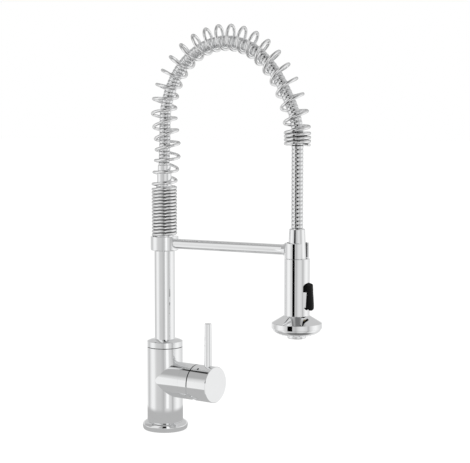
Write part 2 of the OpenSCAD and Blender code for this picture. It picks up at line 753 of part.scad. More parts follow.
function wire_ring(i) = let (
    last = len(coil_path) - 1,
    t = unit(coil_path[min(i + 1, last)] - coil_path[max(i - 1, 0)]),
    e = coil_way(i),
    n = unit(e - t * (e * t)),
    b = cross(t, n))
  [for (k = [0:wire_sides - 1]) coil_path[i]
    + wire_r * (cos(360 * k / wire_sides) * n + sin(360 * k / wire_sides) * b)];

// A closed tube through rings that all have the same number of points.
module skin(rings, sides) {
  last = len(rings) - 1;
  polyhedron(
    points = [for (r = rings) each r],
    faces = concat(
      [[for (k = [0:sides - 1]) k]],
      [for (i = [0:last - 1], k = [0:sides - 1]) let (a = i * sides, n = (k + 1) % sides)
        each [[a + k, a + sides + k, a + sides + n], [a + k, a + sides + n, a + n]]],
      [[for (k = [sides - 1:-1:0]) last * sides + k]]),
    convexity = 12);
}

module support_spring() color("silver")
  skin([for (i = [0:len(coil_path) - 1]) wire_ring(i)], wire_sides);

module spring_guide() color("#303030")
  at_head(guide_low) ring(guide_r, guide_bore, guide_top - guide_low);

hose_start = hose_foot - seat_z;
hose_end_s = route_len + far_end_z - hose_tip_z;
hose_count = ceil((hose_end_s - hose_start) / hose_step);

function hose_inset(s) = blend(0, hose_sag, (s - limb_len + 40) / 90)
  - blend(0, hose_sag, (s - route_len + 75) / 69);

// The hose leaves its ferrule straight and then follows a little of the spring's bow.
hose_free = adapter_z + ferrule_len - seat_z;

function hose_bow(s) = bow(s) / 4 * blend(0, 1, (s - hose_free) / 40);

function hose_ring(s) = let (h = route(s)[2], c = centre(s, hose_bow(s), hose_inset(s)))
  [for (k = [0:hose_sides - 1]) let (a = 360 * k / hose_sides)
    c + hose_d / 2 * (cos(a) * outward(h) + sin(a) * [0, -1, 0])];

module hose() color("lightgray")
  skin([for (i = [0:hose_count]) hose_ring(hose_start + (hose_end_s - hose_start) * i / hose_count)],
       hose_sides);

// ---------- neck ----------

module neck() color(chrome) at_head() difference() {
  rotate_extrude() polygon([
    [0, head_top_z - spigot_len], [spigot_r, head_top_z - spigot_len], [spigot_r, head_top_z + run_gap],
    [neck_base_r, head_top_z + run_gap], [neck_mid_r, neck_mid_z],
    [neck_top_d / 2, neck_top_z - 0.7], [neck_top_d / 2 - 0.5, neck_top_z], [0, neck_top_z]]);
  translate([0, 0, head_top_z - spigot_len - 1]) cylinder(r = 5, h = 60);
  translate([0, 0, hose_tip_z - 0.1]) cylinder(r = hose_d / 2 + 1.4, h = 60);
  translate([0, 0, head_top_z - 8]) ring(spigot_r + 1, spigot_r - 1.6, o_ring_d + 0.2);
  translate([0, 0, clip_z]) ring(spigot_r + 1, spigot_r - clip_depth, clip_h + 0.1);
}

module upper_ferrule() color("silver") at_head(hose_tip_z)
  ring(hose_d / 2 + 1.35, hose_d / 2 + run_gap, neck_top_z - hose_tip_z - 0.6);

module neck_o_ring() color(rubber) at_head(head_top_z - 8 + o_ring_d / 2 + 0.1)
  rotate_extrude() translate([spigot_r - 0.8, 0]) scale(0.72) circle(d = o_ring_d, $fn = 32);

// Snap ring that keeps the head on the neck; it turns in the head's groove.
module neck_clip() color("silver") at_head(clip_z + 0.05) difference() {
  ring(spigot_r + 0.6, spigot_r - clip_depth + 0.02, clip_h);
  translate([0, -1.5, -1]) cube([20, 3, 4]);
}

// ---------- head ----------

module head_body() color(chrome) at_head() difference() {
  union() {
    translate([0, 0, bell_joint_z]) bar(head_r, head_top_z - bell_joint_z, 0.2, 0.6);
    rotate([90, 0, 0]) linear_extrude(rocker_w, center = true)
      polygon([[pad_r - 6, pad_low], [pad_r, pad_low], [rocker_in - 0.8, pad_top], [pad_r - 6, pad_top]]);
  }
  translate([0, 0, bore_floor]) cylinder(r = spigot_r + run_gap, h = past);
  translate([0, 0, clip_z - 0.1]) ring(spigot_r + 0.8, spigot_r - 1, clip_h + 0.3);
  translate([0, 0, chamber_top - 1]) cylinder(r = core_r, h = past);
  translate([0, 0, chamber_low - 1]) cylinder(r = chamber_r, h = chamber_top - chamber_low + 1);
  translate([0, 0, bell_joint_z - 1]) cylinder(r = nipple_r + run_gap, h = chamber_low - bell_joint_z + 1);
  rocker_recess();
  translate([plunger_in - 1, 0, plunger_z]) rotate([0, 90, 0])
    cylinder(d = plunger_d + 2 * run_gap, h = 20);
  translate([rocker_pin_x, 0, rocker_pin_z]) rotate([90, 0, 0])
    cylinder(d = rocker_pin_d, h = 19, center = true);
}

// Room for the rocker's head and, behind it, for its tongue and springs.
module rocker_recess() intersection() {
  union() {
    translate([block_in - free_gap, -past / 2, pad_top]) cube(past);
    translate([pocket_x, -pocket_w / 2, pad_top]) cube([10, pocket_w, past]);
  }
  translate([0, 0, rocker_low_z]) rotate([90, 0, 90]) linear_extrude(past)
    offset(r = free_gap + 0.1) rocker_front();
}

module inlet_filter() color("silver") at_head(bore_floor) difference() {
  cylinder(r = spigot_r + run_gap, h = filter_h);
  translate([0, 0, 0.4]) cylinder(r = spigot_r - 1.2, h = 3);
  for (a = [0:60:359]) rotate([0, 0, a]) translate([4.6, 0, -1]) cylinder(r = 1, h = 3);
  translate([0, 0, -1]) cylinder(r = 1, h = 3);
}

module check_valve() color(plastic) at_head(bore_floor - 14) difference() {
  cylinder(r = core_r, h = 14);
  translate([0, 0, -1]) cylinder(r = 4.5, h = 12);
  translate([0, 0, 10]) cylinder(r = 6.2, h = 5);
}

module diverter_body() color(plastic) at_head() difference() {
  union() {
    translate([0, 0, chamber_low]) cylinder(r = chamber_r, h = chamber_top - chamber_low);
    translate([0, 0, tube_end]) cylinder(r = tube_r, h = chamber_low - tube_end + 1);
  }
  translate([0, 0, tube_end - 1]) cylinder(r = 3.6, h = 60);
  for (a = [60:60:300]) rotate([0, 0, a]) translate([8.6, 0, chamber_low - 1]) cylinder(r = 1.6, h = 30);
  translate([0, 0, plunger_z]) rotate([0, 90, 0]) cylinder(d = plunger_d + 2 * run_gap, h = 20);
}

module bell() color(chrome) at_head() {
  difference() {
    rotate_extrude() polygon([
      [nipple_in, chamber_low], [nipple_r, chamber_low], [nipple_r, bell_joint_z],
      [head_r - 0.1, bell_joint_z], [bell_r - 0.5, rim_z + 0.2], [bell_r, rim_z - 0.4],
      [bell_r, plate_z + 0.3], [bell_r - 0.3, plate_z], [bell_r - bell_wall, plate_z],
      [bell_r - bell_wall, rim_z - 1.4], [head_r, bell_joint_z - bell_wall - 0.6],
      [nipple_in, bell_joint_z - bell_wall - 0.6]]);
    translate([0, 0, bell_joint_z + 1.2]) ring(nipple_r + 1, nipple_r - 1.6, o_ring_d + 0.2);
  }
}

module bell_o_ring() color(rubber) at_head(bell_joint_z + 1.3 + o_ring_d / 2)
  rotate_extrude() translate([nipple_r - 0.8, 0]) scale(0.72) circle(d = o_ring_d, $fn = 32);

// The plate's underside is a quarter ellipse from the rim to the aerator.
function plate_under(r) = let (t = (r - aerator_r) / (plate_r - aerator_r))
  plate_z - plate_drop * sqrt(max(0, 1 - t * t));

module spray_plate() color(chrome) at_head() {
  inner = aerator_r;
  difference() {
    rotate_extrude() polygon(concat(
      [for (k = [0:15]) let (a = 90 * k / 15)
        [inner + (plate_r - inner) * sin(a), plate_z - plate_drop * cos(a)]],
      [[bell_r - bell_wall, plate_z], [bell_r - bell_wall, plate_z + 2],
       [inner + 6, plate_z - plate_drop + 5], [inner + 2, tube_end + 2],
       [tube_r, tube_end + 2], [tube_r, tube_end], [inner, tube_end]]));
    for (r = nozzle_rings, k = [0:nozzles - 1]) rotate([0, 0, 360 * k / nozzles])
      translate([r, 0, plate_z - past / 2]) cylinder(d = nozzle_d, h = past);
  }
}

module spray_nozzles() color(rubber) at_head()
  for (r = nozzle_rings, k = [0:nozzles - 1]) rotate([0, 0, 360 * k / nozzles])
    translate([r, 0, plate_under(r + nozzle_d / 2) - 0.2]) difference() {
      cylinder(d = nozzle_d - 0.04, h = 3);
      translate([0, 0, -1]) cylinder(r = 0.4, h = 5);
    }

module aerator_ring() color(chrome) at_head(aerator_z - aerator_drop) difference() {
  rotate_extrude() polygon([
    [0, 0], [aerator_r - 0.9, 0], [aerator_r - 0.3, 0.8], [aerator_r, aerator_drop],
    [aerator_r, aerator_drop + 10], [0, aerator_drop + 10]]);
  translate([0, 0, -1]) cylinder(r = aerator_r - 2.2, h = aerator_drop + 13);
}

module aerator_insert() color(plastic) at_head(aerator_z - aerator_drop + 0.6) difference() {
  cylinder(r = aerator_r - 2.25, h = 8);
  for (r = [2.2, 4.4, 6.6, 8.8], k = [0:round(r * 2.7) - 1]) rotate([0, 0, 360 * k / round(r * 2.7)])
    translate([r, 0, -1]) cylinder(r = 0.65, h = 3, $fn = 16);
  translate([0, 0, 1.4]) cylinder(r = aerator_r - 3.6, h = 8);
}

// ---------- rocker ----------

// The rocker's side view, whose inner face leaves room for its swing.
module rocker_side() {
  face = rocker_in + rocker_t + 1;
  polygon([[block_in, rocker_top_z], [block_in + 0.6, block_low], [rocker_in, block_low],
           [rocker_in, rocker_low_z], [face - 2, rocker_low_z], [face, rocker_low_z + 4],
           [face, rocker_top_z - 6.5], [face - 6, rocker_top_z]]);
}

// Front view with an arched top and an arched tip.
module rocker_front() {
  tall = rocker_top_z - rocker_low_z;
  intersection() {
    translate([-rocker_w / 2, 0]) square([rocker_w, tall]);
    translate([0, 10]) circle(r = 10);
  }
  translate([-rocker_w / 2, 5.7]) square([rocker_w, tall - 9.7]);
  intersection() {
    translate([-rocker_w / 2, tall - 12]) square([rocker_w, 12]);
    translate([0, tall - 12]) circle(r = 12);
  }
}

module rocker() color("#1a1a1a") at_head() difference() {
  union() {
    intersection() {
      translate([0, past / 2, 0]) rotate([90, 0, 0]) linear_extrude(past) rocker_side();
      translate([0, 0, rocker_low_z]) rotate([90, 0, 90]) linear_extrude(past) rocker_front();
      translate([rocker_in + rocker_t - crown_r, 0, rocker_low_z])
        rotate([0, -rocker_lean, 0]) translate([0, 0, -20]) cylinder(r = crown_r, h = 80);
    }
    translate([rocker_pin_x - 2.5, -tongue_w / 2, block_low])
      cube([block_in + 4.5 - rocker_pin_x, tongue_w, rocker_pin_z + 2.5 - block_low]);
  }
  translate([rocker_pin_x, 0, rocker_pin_z]) rotate([90, 0, 0])
    cylinder(d = rocker_pin_d + 2 * run_gap, h = 30, center = true);
}

module rocker_pin() color("silver") at_head()
  translate([rocker_pin_x, 0, rocker_pin_z]) rotate([90, 0, 0])
    cylinder(d = rocker_pin_d, h = 18.6, center = true);

// One wound spring on each side of the tongue.
module rocker_springs() color("silver") at_head()
  for (side = [-1, 1]) translate([rocker_pin_x, side * (tongue_w / 2 + 1.7), rocker_pin_z])
    rotate([90, 0, 0]) skin([for (i = [0:26]) small_ring(i, 12, 1.35, 0.95, 0.3)], 6);

// Ring i of a small helix with the given steps a turn, radius, pitch and wire radius.
function small_ring(i, steps, r, pitch, w) = let (
    a = 360 * i / steps,
    c = [r * cos(a), r * sin(a), pitch * (i - 13) / steps],
    t = unit([-r * sin(a) * 2 * PI, r * cos(a) * 2 * PI, pitch]),
    n = [cos(a), sin(a), 0],
    b = cross(t, n))
  [for (k = [0:5]) c + w * (cos(60 * k) * n + sin(60 * k) * b)];

module plunger() color(brass) at_head() translate([0, 0, plunger_z]) rotate([0, 90, 0]) {
  translate([0, 0, plunger_in]) cylinder(d = plunger_d, h = rocker_in - 0.1 - plunger_in);
}

deck_flange();
deck_seal();
valve_body();
swivel_bush();
thrust_washer();
retaining_screw();
cartridge_seals();
cartridge_base();
fixed_disc();
cartridge_body();
cartridge_nut();
moving_disc();
disc_carrier();
turn_carrier();
pivot_pin();
trim_dome();
turn_sleeve();
stem();
handle_hub();
lever_cap();
lever_rod();
cap_set_screw();
column();
column_o_rings();
swivel_collar();
arm_collar();
collar_screw();
hose_adapter();
adapter_o_ring();
lower_ferrule();
arm();
dock_ring();
dock_liner();
support_spring();
spring_guide();
hose();
neck();
upper_ferrule();
neck_o_ring();
neck_clip();
head_body();
inlet_filter();
check_valve();
diverter_body();
bell();
bell_o_ring();
spray_plate();
spray_nozzles();
aerator_ring();
aerator_insert();
rocker();
rocker_pin();
rocker_springs();
plunger();
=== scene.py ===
"""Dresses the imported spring-neck faucet: finishes, wound spring, ribbed hose and studio."""

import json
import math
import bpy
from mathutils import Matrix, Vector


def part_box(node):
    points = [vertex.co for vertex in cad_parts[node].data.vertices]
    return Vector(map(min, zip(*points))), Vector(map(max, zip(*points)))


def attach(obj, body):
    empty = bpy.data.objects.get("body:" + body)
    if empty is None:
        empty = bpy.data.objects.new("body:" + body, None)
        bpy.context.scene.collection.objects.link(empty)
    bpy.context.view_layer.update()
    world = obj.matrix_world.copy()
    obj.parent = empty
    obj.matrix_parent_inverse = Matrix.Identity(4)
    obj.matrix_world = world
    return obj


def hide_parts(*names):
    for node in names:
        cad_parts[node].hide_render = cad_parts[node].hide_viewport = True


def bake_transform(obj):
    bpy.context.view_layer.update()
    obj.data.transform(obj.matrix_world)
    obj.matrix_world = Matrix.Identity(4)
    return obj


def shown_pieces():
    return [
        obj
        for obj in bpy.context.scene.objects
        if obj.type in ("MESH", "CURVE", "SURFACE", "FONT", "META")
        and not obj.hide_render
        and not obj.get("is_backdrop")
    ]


bl_info = {
    "name": "Spring-neck faucet",
    "version": (1, 0, 0),
    "blender": (4, 5, 0),
    "location": "View3D > Sidebar > Faucet",
    "description": "Finishes, wound spring, ribbed hose and studio for the spring-neck faucet",
    "category": "Object",
}

import bpy
import bmesh
from bpy.props import FloatProperty, FloatVectorProperty, IntProperty, PointerProperty
from bpy.types import Operator, Panel, PropertyGroup
from mathutils import Vector
from mathutils.bvhtree import BVHTree

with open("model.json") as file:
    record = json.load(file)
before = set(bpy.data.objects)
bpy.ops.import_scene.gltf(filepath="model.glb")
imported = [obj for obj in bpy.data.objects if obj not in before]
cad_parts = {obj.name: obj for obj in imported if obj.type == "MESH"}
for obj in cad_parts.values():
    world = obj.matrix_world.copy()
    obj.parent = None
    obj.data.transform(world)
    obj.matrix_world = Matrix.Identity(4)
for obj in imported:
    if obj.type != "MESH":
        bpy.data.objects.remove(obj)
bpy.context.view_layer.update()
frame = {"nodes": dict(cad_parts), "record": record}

MM = 0.001
SHOT_W, SHOT_H = 470, 463                # the photograph's frame in pixels

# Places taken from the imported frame.
SEAT_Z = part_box("arm_collar")[1].z       # the spring sits on the arm collar
BELL_LOW, BELL_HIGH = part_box("bell")
REACH = (BELL_LOW.x + BELL_HIGH.x) / 2   # axis of the hanging head
LEVER_TURN = math.radians(-5)            # heading of the valve and its lever
CAP_LOW, CAP_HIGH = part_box("lever_cap")
CAP_R = (CAP_HIGH.z - CAP_LOW.z) / 2
# Distance along the lever's heading at which the cap, and with it the seam, starts.
SEAM = (CAP_LOW.x + CAP_R * math.sin(-LEVER_TURN)) / math.cos(LEVER_TURN)

# Stretches of the spring along its line.
END_LEAD = 7.4 * MM                      # its last turns start this far before the arch's end
LEAN_RUN = 45 * MM                       # in which the turns take the lean of the free end
WIDEN_RUN = 25 * MM                      # in which they widen above the close turns
NARROW_RUN = 60 * MM                     # in which they narrow towards the free end
END_SHADE_START = 2 * MM                        # the free end's painted crevice shade starts this far along it
SEAT_CREVICE_SHADE, END_CREVICE_SHADE = 1.0, 0.45    # how dark the painted crevice shade is at the seat and the free end

# How the hose lies in the spring.
HOSE_SUNK = 27 * MM                      # from the lower ferrule's top down to the hose's foot
HOSE_POINTS = 260
HOSE_BOW = 0.25                          # share of the spring's bow that the hose follows
HOSE_BOW_RUN = 40 * MM                   # in which it starts to follow
INSET_LEAD, INSET_RUN = 40 * MM, 90 * MM        # sags inwards from before the arch's foot
OUTSET_LEAD, OUTSET_RUN = 75 * MM, 69 * MM      # and returns before the arch's end


# ---------- sizes and colours that a user may change ----------

def length(name, text, value, low=0.0, high=1.0):
    return FloatProperty(name=name, description=text, default=value, min=low, max=high,
                         precision=5, subtype="DISTANCE", unit="LENGTH")


def angle(name, text, degrees):
    return FloatProperty(name=name, description=text, default=math.radians(degrees),
                         subtype="ANGLE", unit="ROTATION")


def colour(name, text, value):
    return FloatVectorProperty(name=name, description=text, default=value, size=3,
                               min=0.0, max=1.0, subtype="COLOR")


class FaucetSpring(PropertyGroup):
    wire: length("Wire", "Diameter of the spring wire", 4.1 * MM)
    coil: length("Close coils", "Outer diameter of the close turns", 34.8 * MM)
    arch_coil: length("Arch coils", "Outer diameter of the open turns in the arch", 35.6 * MM)
    pitch: length("Close pitch", "Pitch of the close turns", 4.4 * MM)
    end_pitch: length("End pitch", "Pitch of the turns at the free end", 4.8 * MM)
    seat_turns: IntProperty(name="Seat turns", description="Close turns on the seat", default=14)
    open_turns: FloatProperty(name="Open turns", description="Open turns along the arch",
                              default=25.35)
    end_turns: FloatProperty(name="End turns", description="Close turns at the free end",
                             default=3.5)
    phase: angle("Phase", "Where the lowest turn starts, counted from the outside", 20.0)
    lean: angle("End tilt", "Tilt of the turns at the free end", 1.5)
    steps: IntProperty(name="Steps", description="Points in each turn", default=36, min=12)
    sides: IntProperty(name="Sides", description="Sides of the wire's section", default=14, min=6)


class FaucetHose(PropertyGroup):
    outer: length("Rib", "Diameter over the ribs", 15.6 * MM)
    groove: length("Groove", "Depth of the groove between two ribs", 0.95 * MM)
    pitch: length("Rib pitch", "Distance from rib to rib", 5.06 * MM)
    sag: length("Inset", "How far the hose lies inside the middle line of the arch", 5.2 * MM)
    sides: IntProperty(name="Sides", description="Sides of the hose's section", default=32, min=8)
    rings: IntProperty(name="Rings", description="Rings for each rib", default=10, min=4)


class FaucetArch(PropertyGroup):
    rise: length("Arch foot", "Height where the arch starts", 430.0 * MM)
    near_r: length("Shoulder radius", "Radius of the arch above the column", 101.5 * MM)
    near_turn: angle("Shoulder turn", "Angle of the shoulder", 64.0)
    top_r: length("Top radius", "Radius of the arch's top", 89.5 * MM)
    top_turn: angle("Top turn", "Angle of the arch's top", 68.0)
    bow: length("Bow", "Inward bow of the rising limb", 5.8 * MM)
    bow_len: length("Bow length", "Length of the bowed stretch above the close turns", 109.0 * MM)


class FaucetFinish(PropertyGroup):
    chrome: colour("Chrome", "Colour of the polished plating", (0.930, 0.935, 0.940))
    wire: colour("Wire", "Colour of the plated spring wire", (0.950, 0.952, 0.955))
    # painted shade where turns of the spring meet
    painted_crevice_shade: colour("Crevice", "Colour where turns of the spring meet", (0.030, 0.031, 0.032))
    hose: colour("Hose", "Colour of the ribbed metal hose", (0.880, 0.885, 0.890))
    # painted shade in the hose's grooves
    groove: colour("Groove", "Colour in the grooves of the hose", (0.040, 0.041, 0.042))
    brass: colour("Brass", "Colour of turned brass", (0.760, 0.600, 0.300))
    steel: colour("Steel", "Colour of brushed steel", (0.640, 0.645, 0.650))
    rubber: colour("Rubber", "Colour of the seals", (0.030, 0.030, 0.031))
    nipple: colour("Nozzles", "Colour of the soft nozzles", (0.420, 0.424, 0.430))
    plastic: colour("Plastic", "Colour of the moulded inner parts", (0.780, 0.770, 0.740))
    black: colour("Black plastic", "Colour of the rocker", (0.0025, 0.0025, 0.0026))
    grey: colour("Grey plastic", "Colour of the dock's liner", (0.230, 0.232, 0.236))
    ceramic: colour("Ceramic", "Colour of the valve discs", (0.860, 0.855, 0.840))


class FaucetStage(PropertyGroup):
    lens: FloatProperty(name="Lens", description="Focal length on a 36 mm sensor", default=97.07,
                        unit="CAMERA")
    eye: FloatVectorProperty(name="Camera", description="Place of the camera", size=3,
                             default=(0.9606, -1.4294, 0.4102), subtype="TRANSLATION")
    yaw: angle("Yaw", "Viewing direction counted from +X", 120.707)
    pitch: angle("Pitch", "Viewing direction above the horizon", -4.598)
    lamp: FloatProperty(name="Lamp", description="Power of the large soft lamp", default=9.0,
                        unit="POWER")
    fill: FloatProperty(name="Fill", description="Level of the plain surrounding light",
                        default=0.72)


# ---------- the line that spring and hose follow ----------

class Route:
    """Rising limb, three arcs and a short falling limb, in the plane of the arm."""

    def __init__(self, arch, spring):
        self.arch, self.spring = arch, spring
        first, last = arch.near_turn, arch.near_turn + arch.top_turn
        self.near_end = (arch.near_r * (1 - math.cos(first)),
                         arch.rise + arch.near_r * math.sin(first))
        top_x = self.near_end[0] + arch.top_r * (math.cos(first) - math.cos(last))
        self.far_r = (REACH - top_x) / (1 + math.cos(last))
        self.far_end = (self.near_end[1] + arch.top_r * (math.sin(last) - math.sin(first))
                        - self.far_r * math.sin(last))
        self.limb = arch.rise - SEAT_Z
        self.near = self.limb + arch.near_r * first
        self.top = self.near + arch.top_r * arch.top_turn
        self.length = self.top + self.far_r * (math.pi - last)
        self.close_end = spring.wire / 2 + spring.seat_turns * spring.pitch
        self.end_start = self.length - END_LEAD

    def at(self, s):
        """Place and heading (from +X) at a distance s along the line."""
        arch = self.arch
        if s < self.limb:
            return Vector((0, 0, SEAT_Z + s)), math.pi / 2
        if s < self.near:
            a = (s - self.limb) / arch.near_r
            x, z = arch.near_r * (1 - math.cos(a)), arch.rise + arch.near_r * math.sin(a)
        elif s < self.top:
            a = arch.near_turn + (s - self.near) / arch.top_r
            x = self.near_end[0] + arch.top_r * (math.cos(arch.near_turn) - math.cos(a))
            z = self.near_end[1] + arch.top_r * (math.sin(a) - math.sin(arch.near_turn))
        elif s < self.length:
            a = math.pi - (self.length - s) / self.far_r
            x = REACH - self.far_r * (1 + math.cos(a))
            z = self.far_end + self.far_r * math.sin(a)
        else:
            a, x, z = math.pi, REACH, self.far_end - (s - self.length)
        return Vector((x, 0, z)), math.pi / 2 - a

    def along_bow(self, s):
        return min(1.0, max(0.0, (s - self.close_end) / self.arch.bow_len))

    def bow(self, s):
        return self.arch.bow * math.sin(math.pi * self.along_bow(s)) ** 2

    def tilt(self, s):
        """Angle by which the turns lean with the bow and at the free end."""
        steepest = self.arch.bow * math.pi / self.arch.bow_len
        slope = steepest * math.sin(2 * math.pi * self.along_bow(s))
        return math.atan(slope) - ease(0, self.spring.lean, (s - self.length + LEAN_RUN) / LEAN_RUN)


def outward(heading):
    return Vector((-math.sin(heading), 0, math.cos(heading)))


def ease(a, b, t):
    t = min(1.0, max(0.0, t))
    return a + (b - a) * t * t * (3 - 2 * t)


# Number of the open turn and its pitch, before the pitches are fitted to the arch.
PITCHES = ((0, 4.5), (0.7, 5.8), (1.3, 15.1), (2.5, 16.2), (4.5, 16.2), (7, 16.7), (9.5, 18.4),
           (12, 20), (14, 16.9), (16, 16.1), (18, 16.9), (20, 19.3), (22, 19.6), (24, 21.1),
           (24.8, 16.1), (25.35, 6.3))


def pitch_at(turn):
    for (a, low), (b, high) in zip(PITCHES, PITCHES[1:]):
        if turn < b:
            return low + (high - low) * (turn - a) / (b - a)
    return PITCHES[-1][1]


def spring_places(spring, line):
    """Distances along the line of all the wire's points: close, open and close turns again."""
    steps = spring.steps
    places = [spring.wire / 2 + i / steps * spring.pitch for i in range(spring.seat_turns * steps)]
    raw = [0.0]
    for i in range(round(spring.open_turns * steps)):
        raw.append(raw[-1] + pitch_at((i + 0.5) / steps))
    places += [line.close_end + v / raw[-1] * (line.end_start - line.close_end) for v in raw]
    places += [line.end_start + i / steps * spring.end_pitch
               for i in range(1, int(spring.end_turns * steps) + 1)]
    return places


def coil_radius(spring, line, s):
    """Radius of the wire's middle, which is widest in the arch."""
    return (ease(spring.coil, spring.arch_coil, (s - line.close_end) / WIDEN_RUN) / 2
            - spring.wire / 2
            - ease(0, (spring.arch_coil - spring.coil) / 2,
                   (s - line.length + NARROW_RUN) / NARROW_RUN))


def spring_path(spring, line):
    """Points of the wire's middle, how strong the painted shade in its crevices is and the way to
    the next turn.
    """
    points, close, lay = [], [], []
    for i, s in enumerate(spring_places(spring, line)):
        middle, heading = line.at(s)
        tilted = heading - line.tilt(s)
        a = spring.phase + 2 * math.pi * i / spring.steps
        out = math.cos(a) * outward(tilted) + math.sin(a) * Vector((0, -1, 0))
        points.append(middle + Vector((line.bow(s), 0, 0)) + coil_radius(spring, line, s) * out)
        # painted crevice shade: full in the close turns on the seat, weaker at the free end, none
        # in the open turns
        if s < line.close_end:
            close.append(SEAT_CREVICE_SHADE)
        elif s > line.end_start + END_SHADE_START:
            close.append(END_CREVICE_SHADE)
        else:
            close.append(0.0)
        lay.append((math.cos(tilted), 0, math.sin(tilted)))
    return points, close, lay


def hose_path(hose, line, foot, tip, free):
    """Points of the hose's middle, from its foot to its tip; it lies straight up to free."""
    start, end = foot - SEAT_Z, line.length + line.far_end - tip
    points = []
    for i in range(HOSE_POINTS + 1):
        s = start + (end - start) * i / HOSE_POINTS
        middle, heading = line.at(s)
        inset = (ease(0, hose.sag, (s - line.limb + INSET_LEAD) / INSET_RUN)
                 - ease(0, hose.sag, (s - line.length + OUTSET_LEAD) / OUTSET_RUN))
        side = HOSE_BOW * line.bow(s) * ease(0, 1, (s - free) / HOSE_BOW_RUN)
        points.append(middle + Vector((side, 0, 0)) - inset * outward(heading))
    return points


# ---------- node helpers ----------

def feed(tree, socket, value):
    """Links an input to a socket or sets it to a value."""
    if isinstance(value, bpy.types.NodeSocket):
        tree.links.new(value, socket)
    else:
        socket.default_value = value


def add_math(tree, kind, operation, values):
    """Adds a Math or Vector Math node; the values are numbers or sockets."""
    node = tree.nodes.new(kind)
    node.operation = operation
    for socket, value in zip(node.inputs, values):
        feed(tree, socket, value)
    return node


def calc(tree, operation, *values):
    return add_math(tree, "ShaderNodeMath", operation, values).outputs["Value"]


def measure(tree, operation, *values):
    """A number from vectors, such as a length or a dot product."""
    return add_math(tree, "ShaderNodeVectorMath", operation, values).outputs["Value"]


def off(tree, value, middle):
    """How far a value is from a middle one."""
    return calc(tree, "ABSOLUTE", calc(tree, "SUBTRACT", value, middle))


def smooth_step(tree, value, low, high, out_low=0.0, out_high=1.0):
    node = tree.nodes.new("ShaderNodeMapRange")
    node.interpolation_type = "SMOOTHSTEP"
    for name, v in (("Value", value), ("From Min", low), ("From Max", high),
                    ("To Min", out_low), ("To Max", out_high)):
        feed(tree, node.inputs[name], v)
    return node.outputs["Result"]


def mix_colours(tree, factor, first, second):
    node = tree.nodes.new("ShaderNodeMix")
    node.data_type = "RGBA"
    for index, value in ((0, factor), (6, first), (7, second)):
        feed(tree, node.inputs[index], value)
    return node.outputs[2]


def linear(grey):
    """A display grey from 0 to 255 as a linear value."""
    v = grey / 255
    return ((v + 0.055) / 1.055) ** 2.4 if v > 0.04045 else v / 12.92


def ramp(tree, value, stops):
    """Colour ramp through (position, grey) or (position, colour) stops."""
    node = tree.nodes.new("ShaderNodeValToRGB")
    elements = node.color_ramp.elements
    while len(elements) > 1:
        elements.remove(elements[0])
    for i, (at, shade) in enumerate(stops):
        element = elements[0] if i == 0 else elements.new(at)
        element.position = at
        rgb = shade if isinstance(shade, (tuple, list)) else (shade, shade, shade)
        element.color = (*rgb[:3], 1.0)
    tree.links.new(value, node.inputs["Fac"])
    return node.outputs["Color"]


def new_material(name, metallic=0.0):
    """A material, its tree, its shader and its object coordinates."""
    material = bpy.data.materials.new(name)
    material.use_nodes = True
    tree = material.node_tree
    shader = tree.nodes["Principled BSDF"]
    shader.inputs["Metallic"].default_value = metallic
    coords = tree.nodes.new("ShaderNodeTexCoord").outputs["Object"]
    return material, tree, shader, coords


def noise(tree, coords, scale, detail=3.0, stretch=(1, 1, 1)):
    """Noise in object coordinates, stretched along an axis where it follows a lay."""
    mapping = tree.nodes.new("ShaderNodeMapping")
    mapping.inputs["Scale"].default_value = stretch
    tree.links.new(coords, mapping.inputs["Vector"])
    node = tree.nodes.new("ShaderNodeTexNoise")
    node.inputs["Scale"].default_value = scale
    node.inputs["Detail"].default_value = detail
    tree.links.new(mapping.outputs["Vector"], node.inputs["Vector"])
    return node.outputs["Fac"]


def tinted(tree, shader, value, rgb, spread):
    """Base colour that varies a little round rgb with a noise value."""
    darker = [c * (1 - spread) for c in rgb]
    tree.links.new(ramp(tree, value, ((0.35, darker), (0.65, tuple(rgb)))),
                   shader.inputs["Base Color"])


def glossed(tree, shader, value, low, high):
    """Roughness that varies between low and high with a noise value."""
    tree.links.new(smooth_step(tree, value, 0.3, 0.7, low, high), shader.inputs["Roughness"])


def bumped(tree, shader, height, depth, strength):
    node = tree.nodes.new("ShaderNodeBump")
    node.inputs["Strength"].default_value = strength
    node.inputs["Distance"].default_value = depth
    tree.links.new(height, node.inputs["Height"])
    tree.links.new(node.outputs["Normal"], shader.inputs["Normal"])


def attribute(tree, name):
    """A number that a piece's own points carry."""
    node = tree.nodes.new("ShaderNodeAttribute")
    node.attribute_name = name
    return node.outputs["Fac"]


# ---------- finishes ----------

CHROME_GLOSS = (0.028, 0.050)            # least and most roughness of the polished plating
SEAM_SHADE_EDGE = (0.9 * MM, 1.4 * MM)         # the cap's painted seam shade fades out here, from its start
SEAM_SHADE_FADE = (60 * MM, 72 * MM)           # heights between which the painted seam shade gets its full strength
SEAM_SHADE_LOW = 0.45                          # its strength below them
# colour of the painted shade in the gap between sleeve and cap
SEAM_SHADE_COLOUR = (0.01, 0.01, 0.01)
CREVICE_SHADE_EDGE = (0.68, 0.90)              # painted crevice shade values between which the wire is painted darker
RIM_SHADE_EDGE, RIM_PAINTED_SHADE = (0.58, 0.92), 0.88  # Layer Weight at the wire's edges, and how dark the painted shade there gets
GROOVE_EDGE = (0.32, 0.48)               # rib values between the painted shade of a groove and a crest


def plated(name, rgb, low, high):
    """Polished plating: faint cloudiness in its gloss and the waviness of a buffed casting."""
    material, tree, shader, coords = new_material(name, 1.0)
    cloud = noise(tree, coords, 55.0, 4.0)
    tinted(tree, shader, cloud, rgb, 0.012)
    glossed(tree, shader, cloud, low, high)
    bumped(tree, shader, noise(tree, coords, 18.0, 1.0), 0.00003, 0.35)
    return material


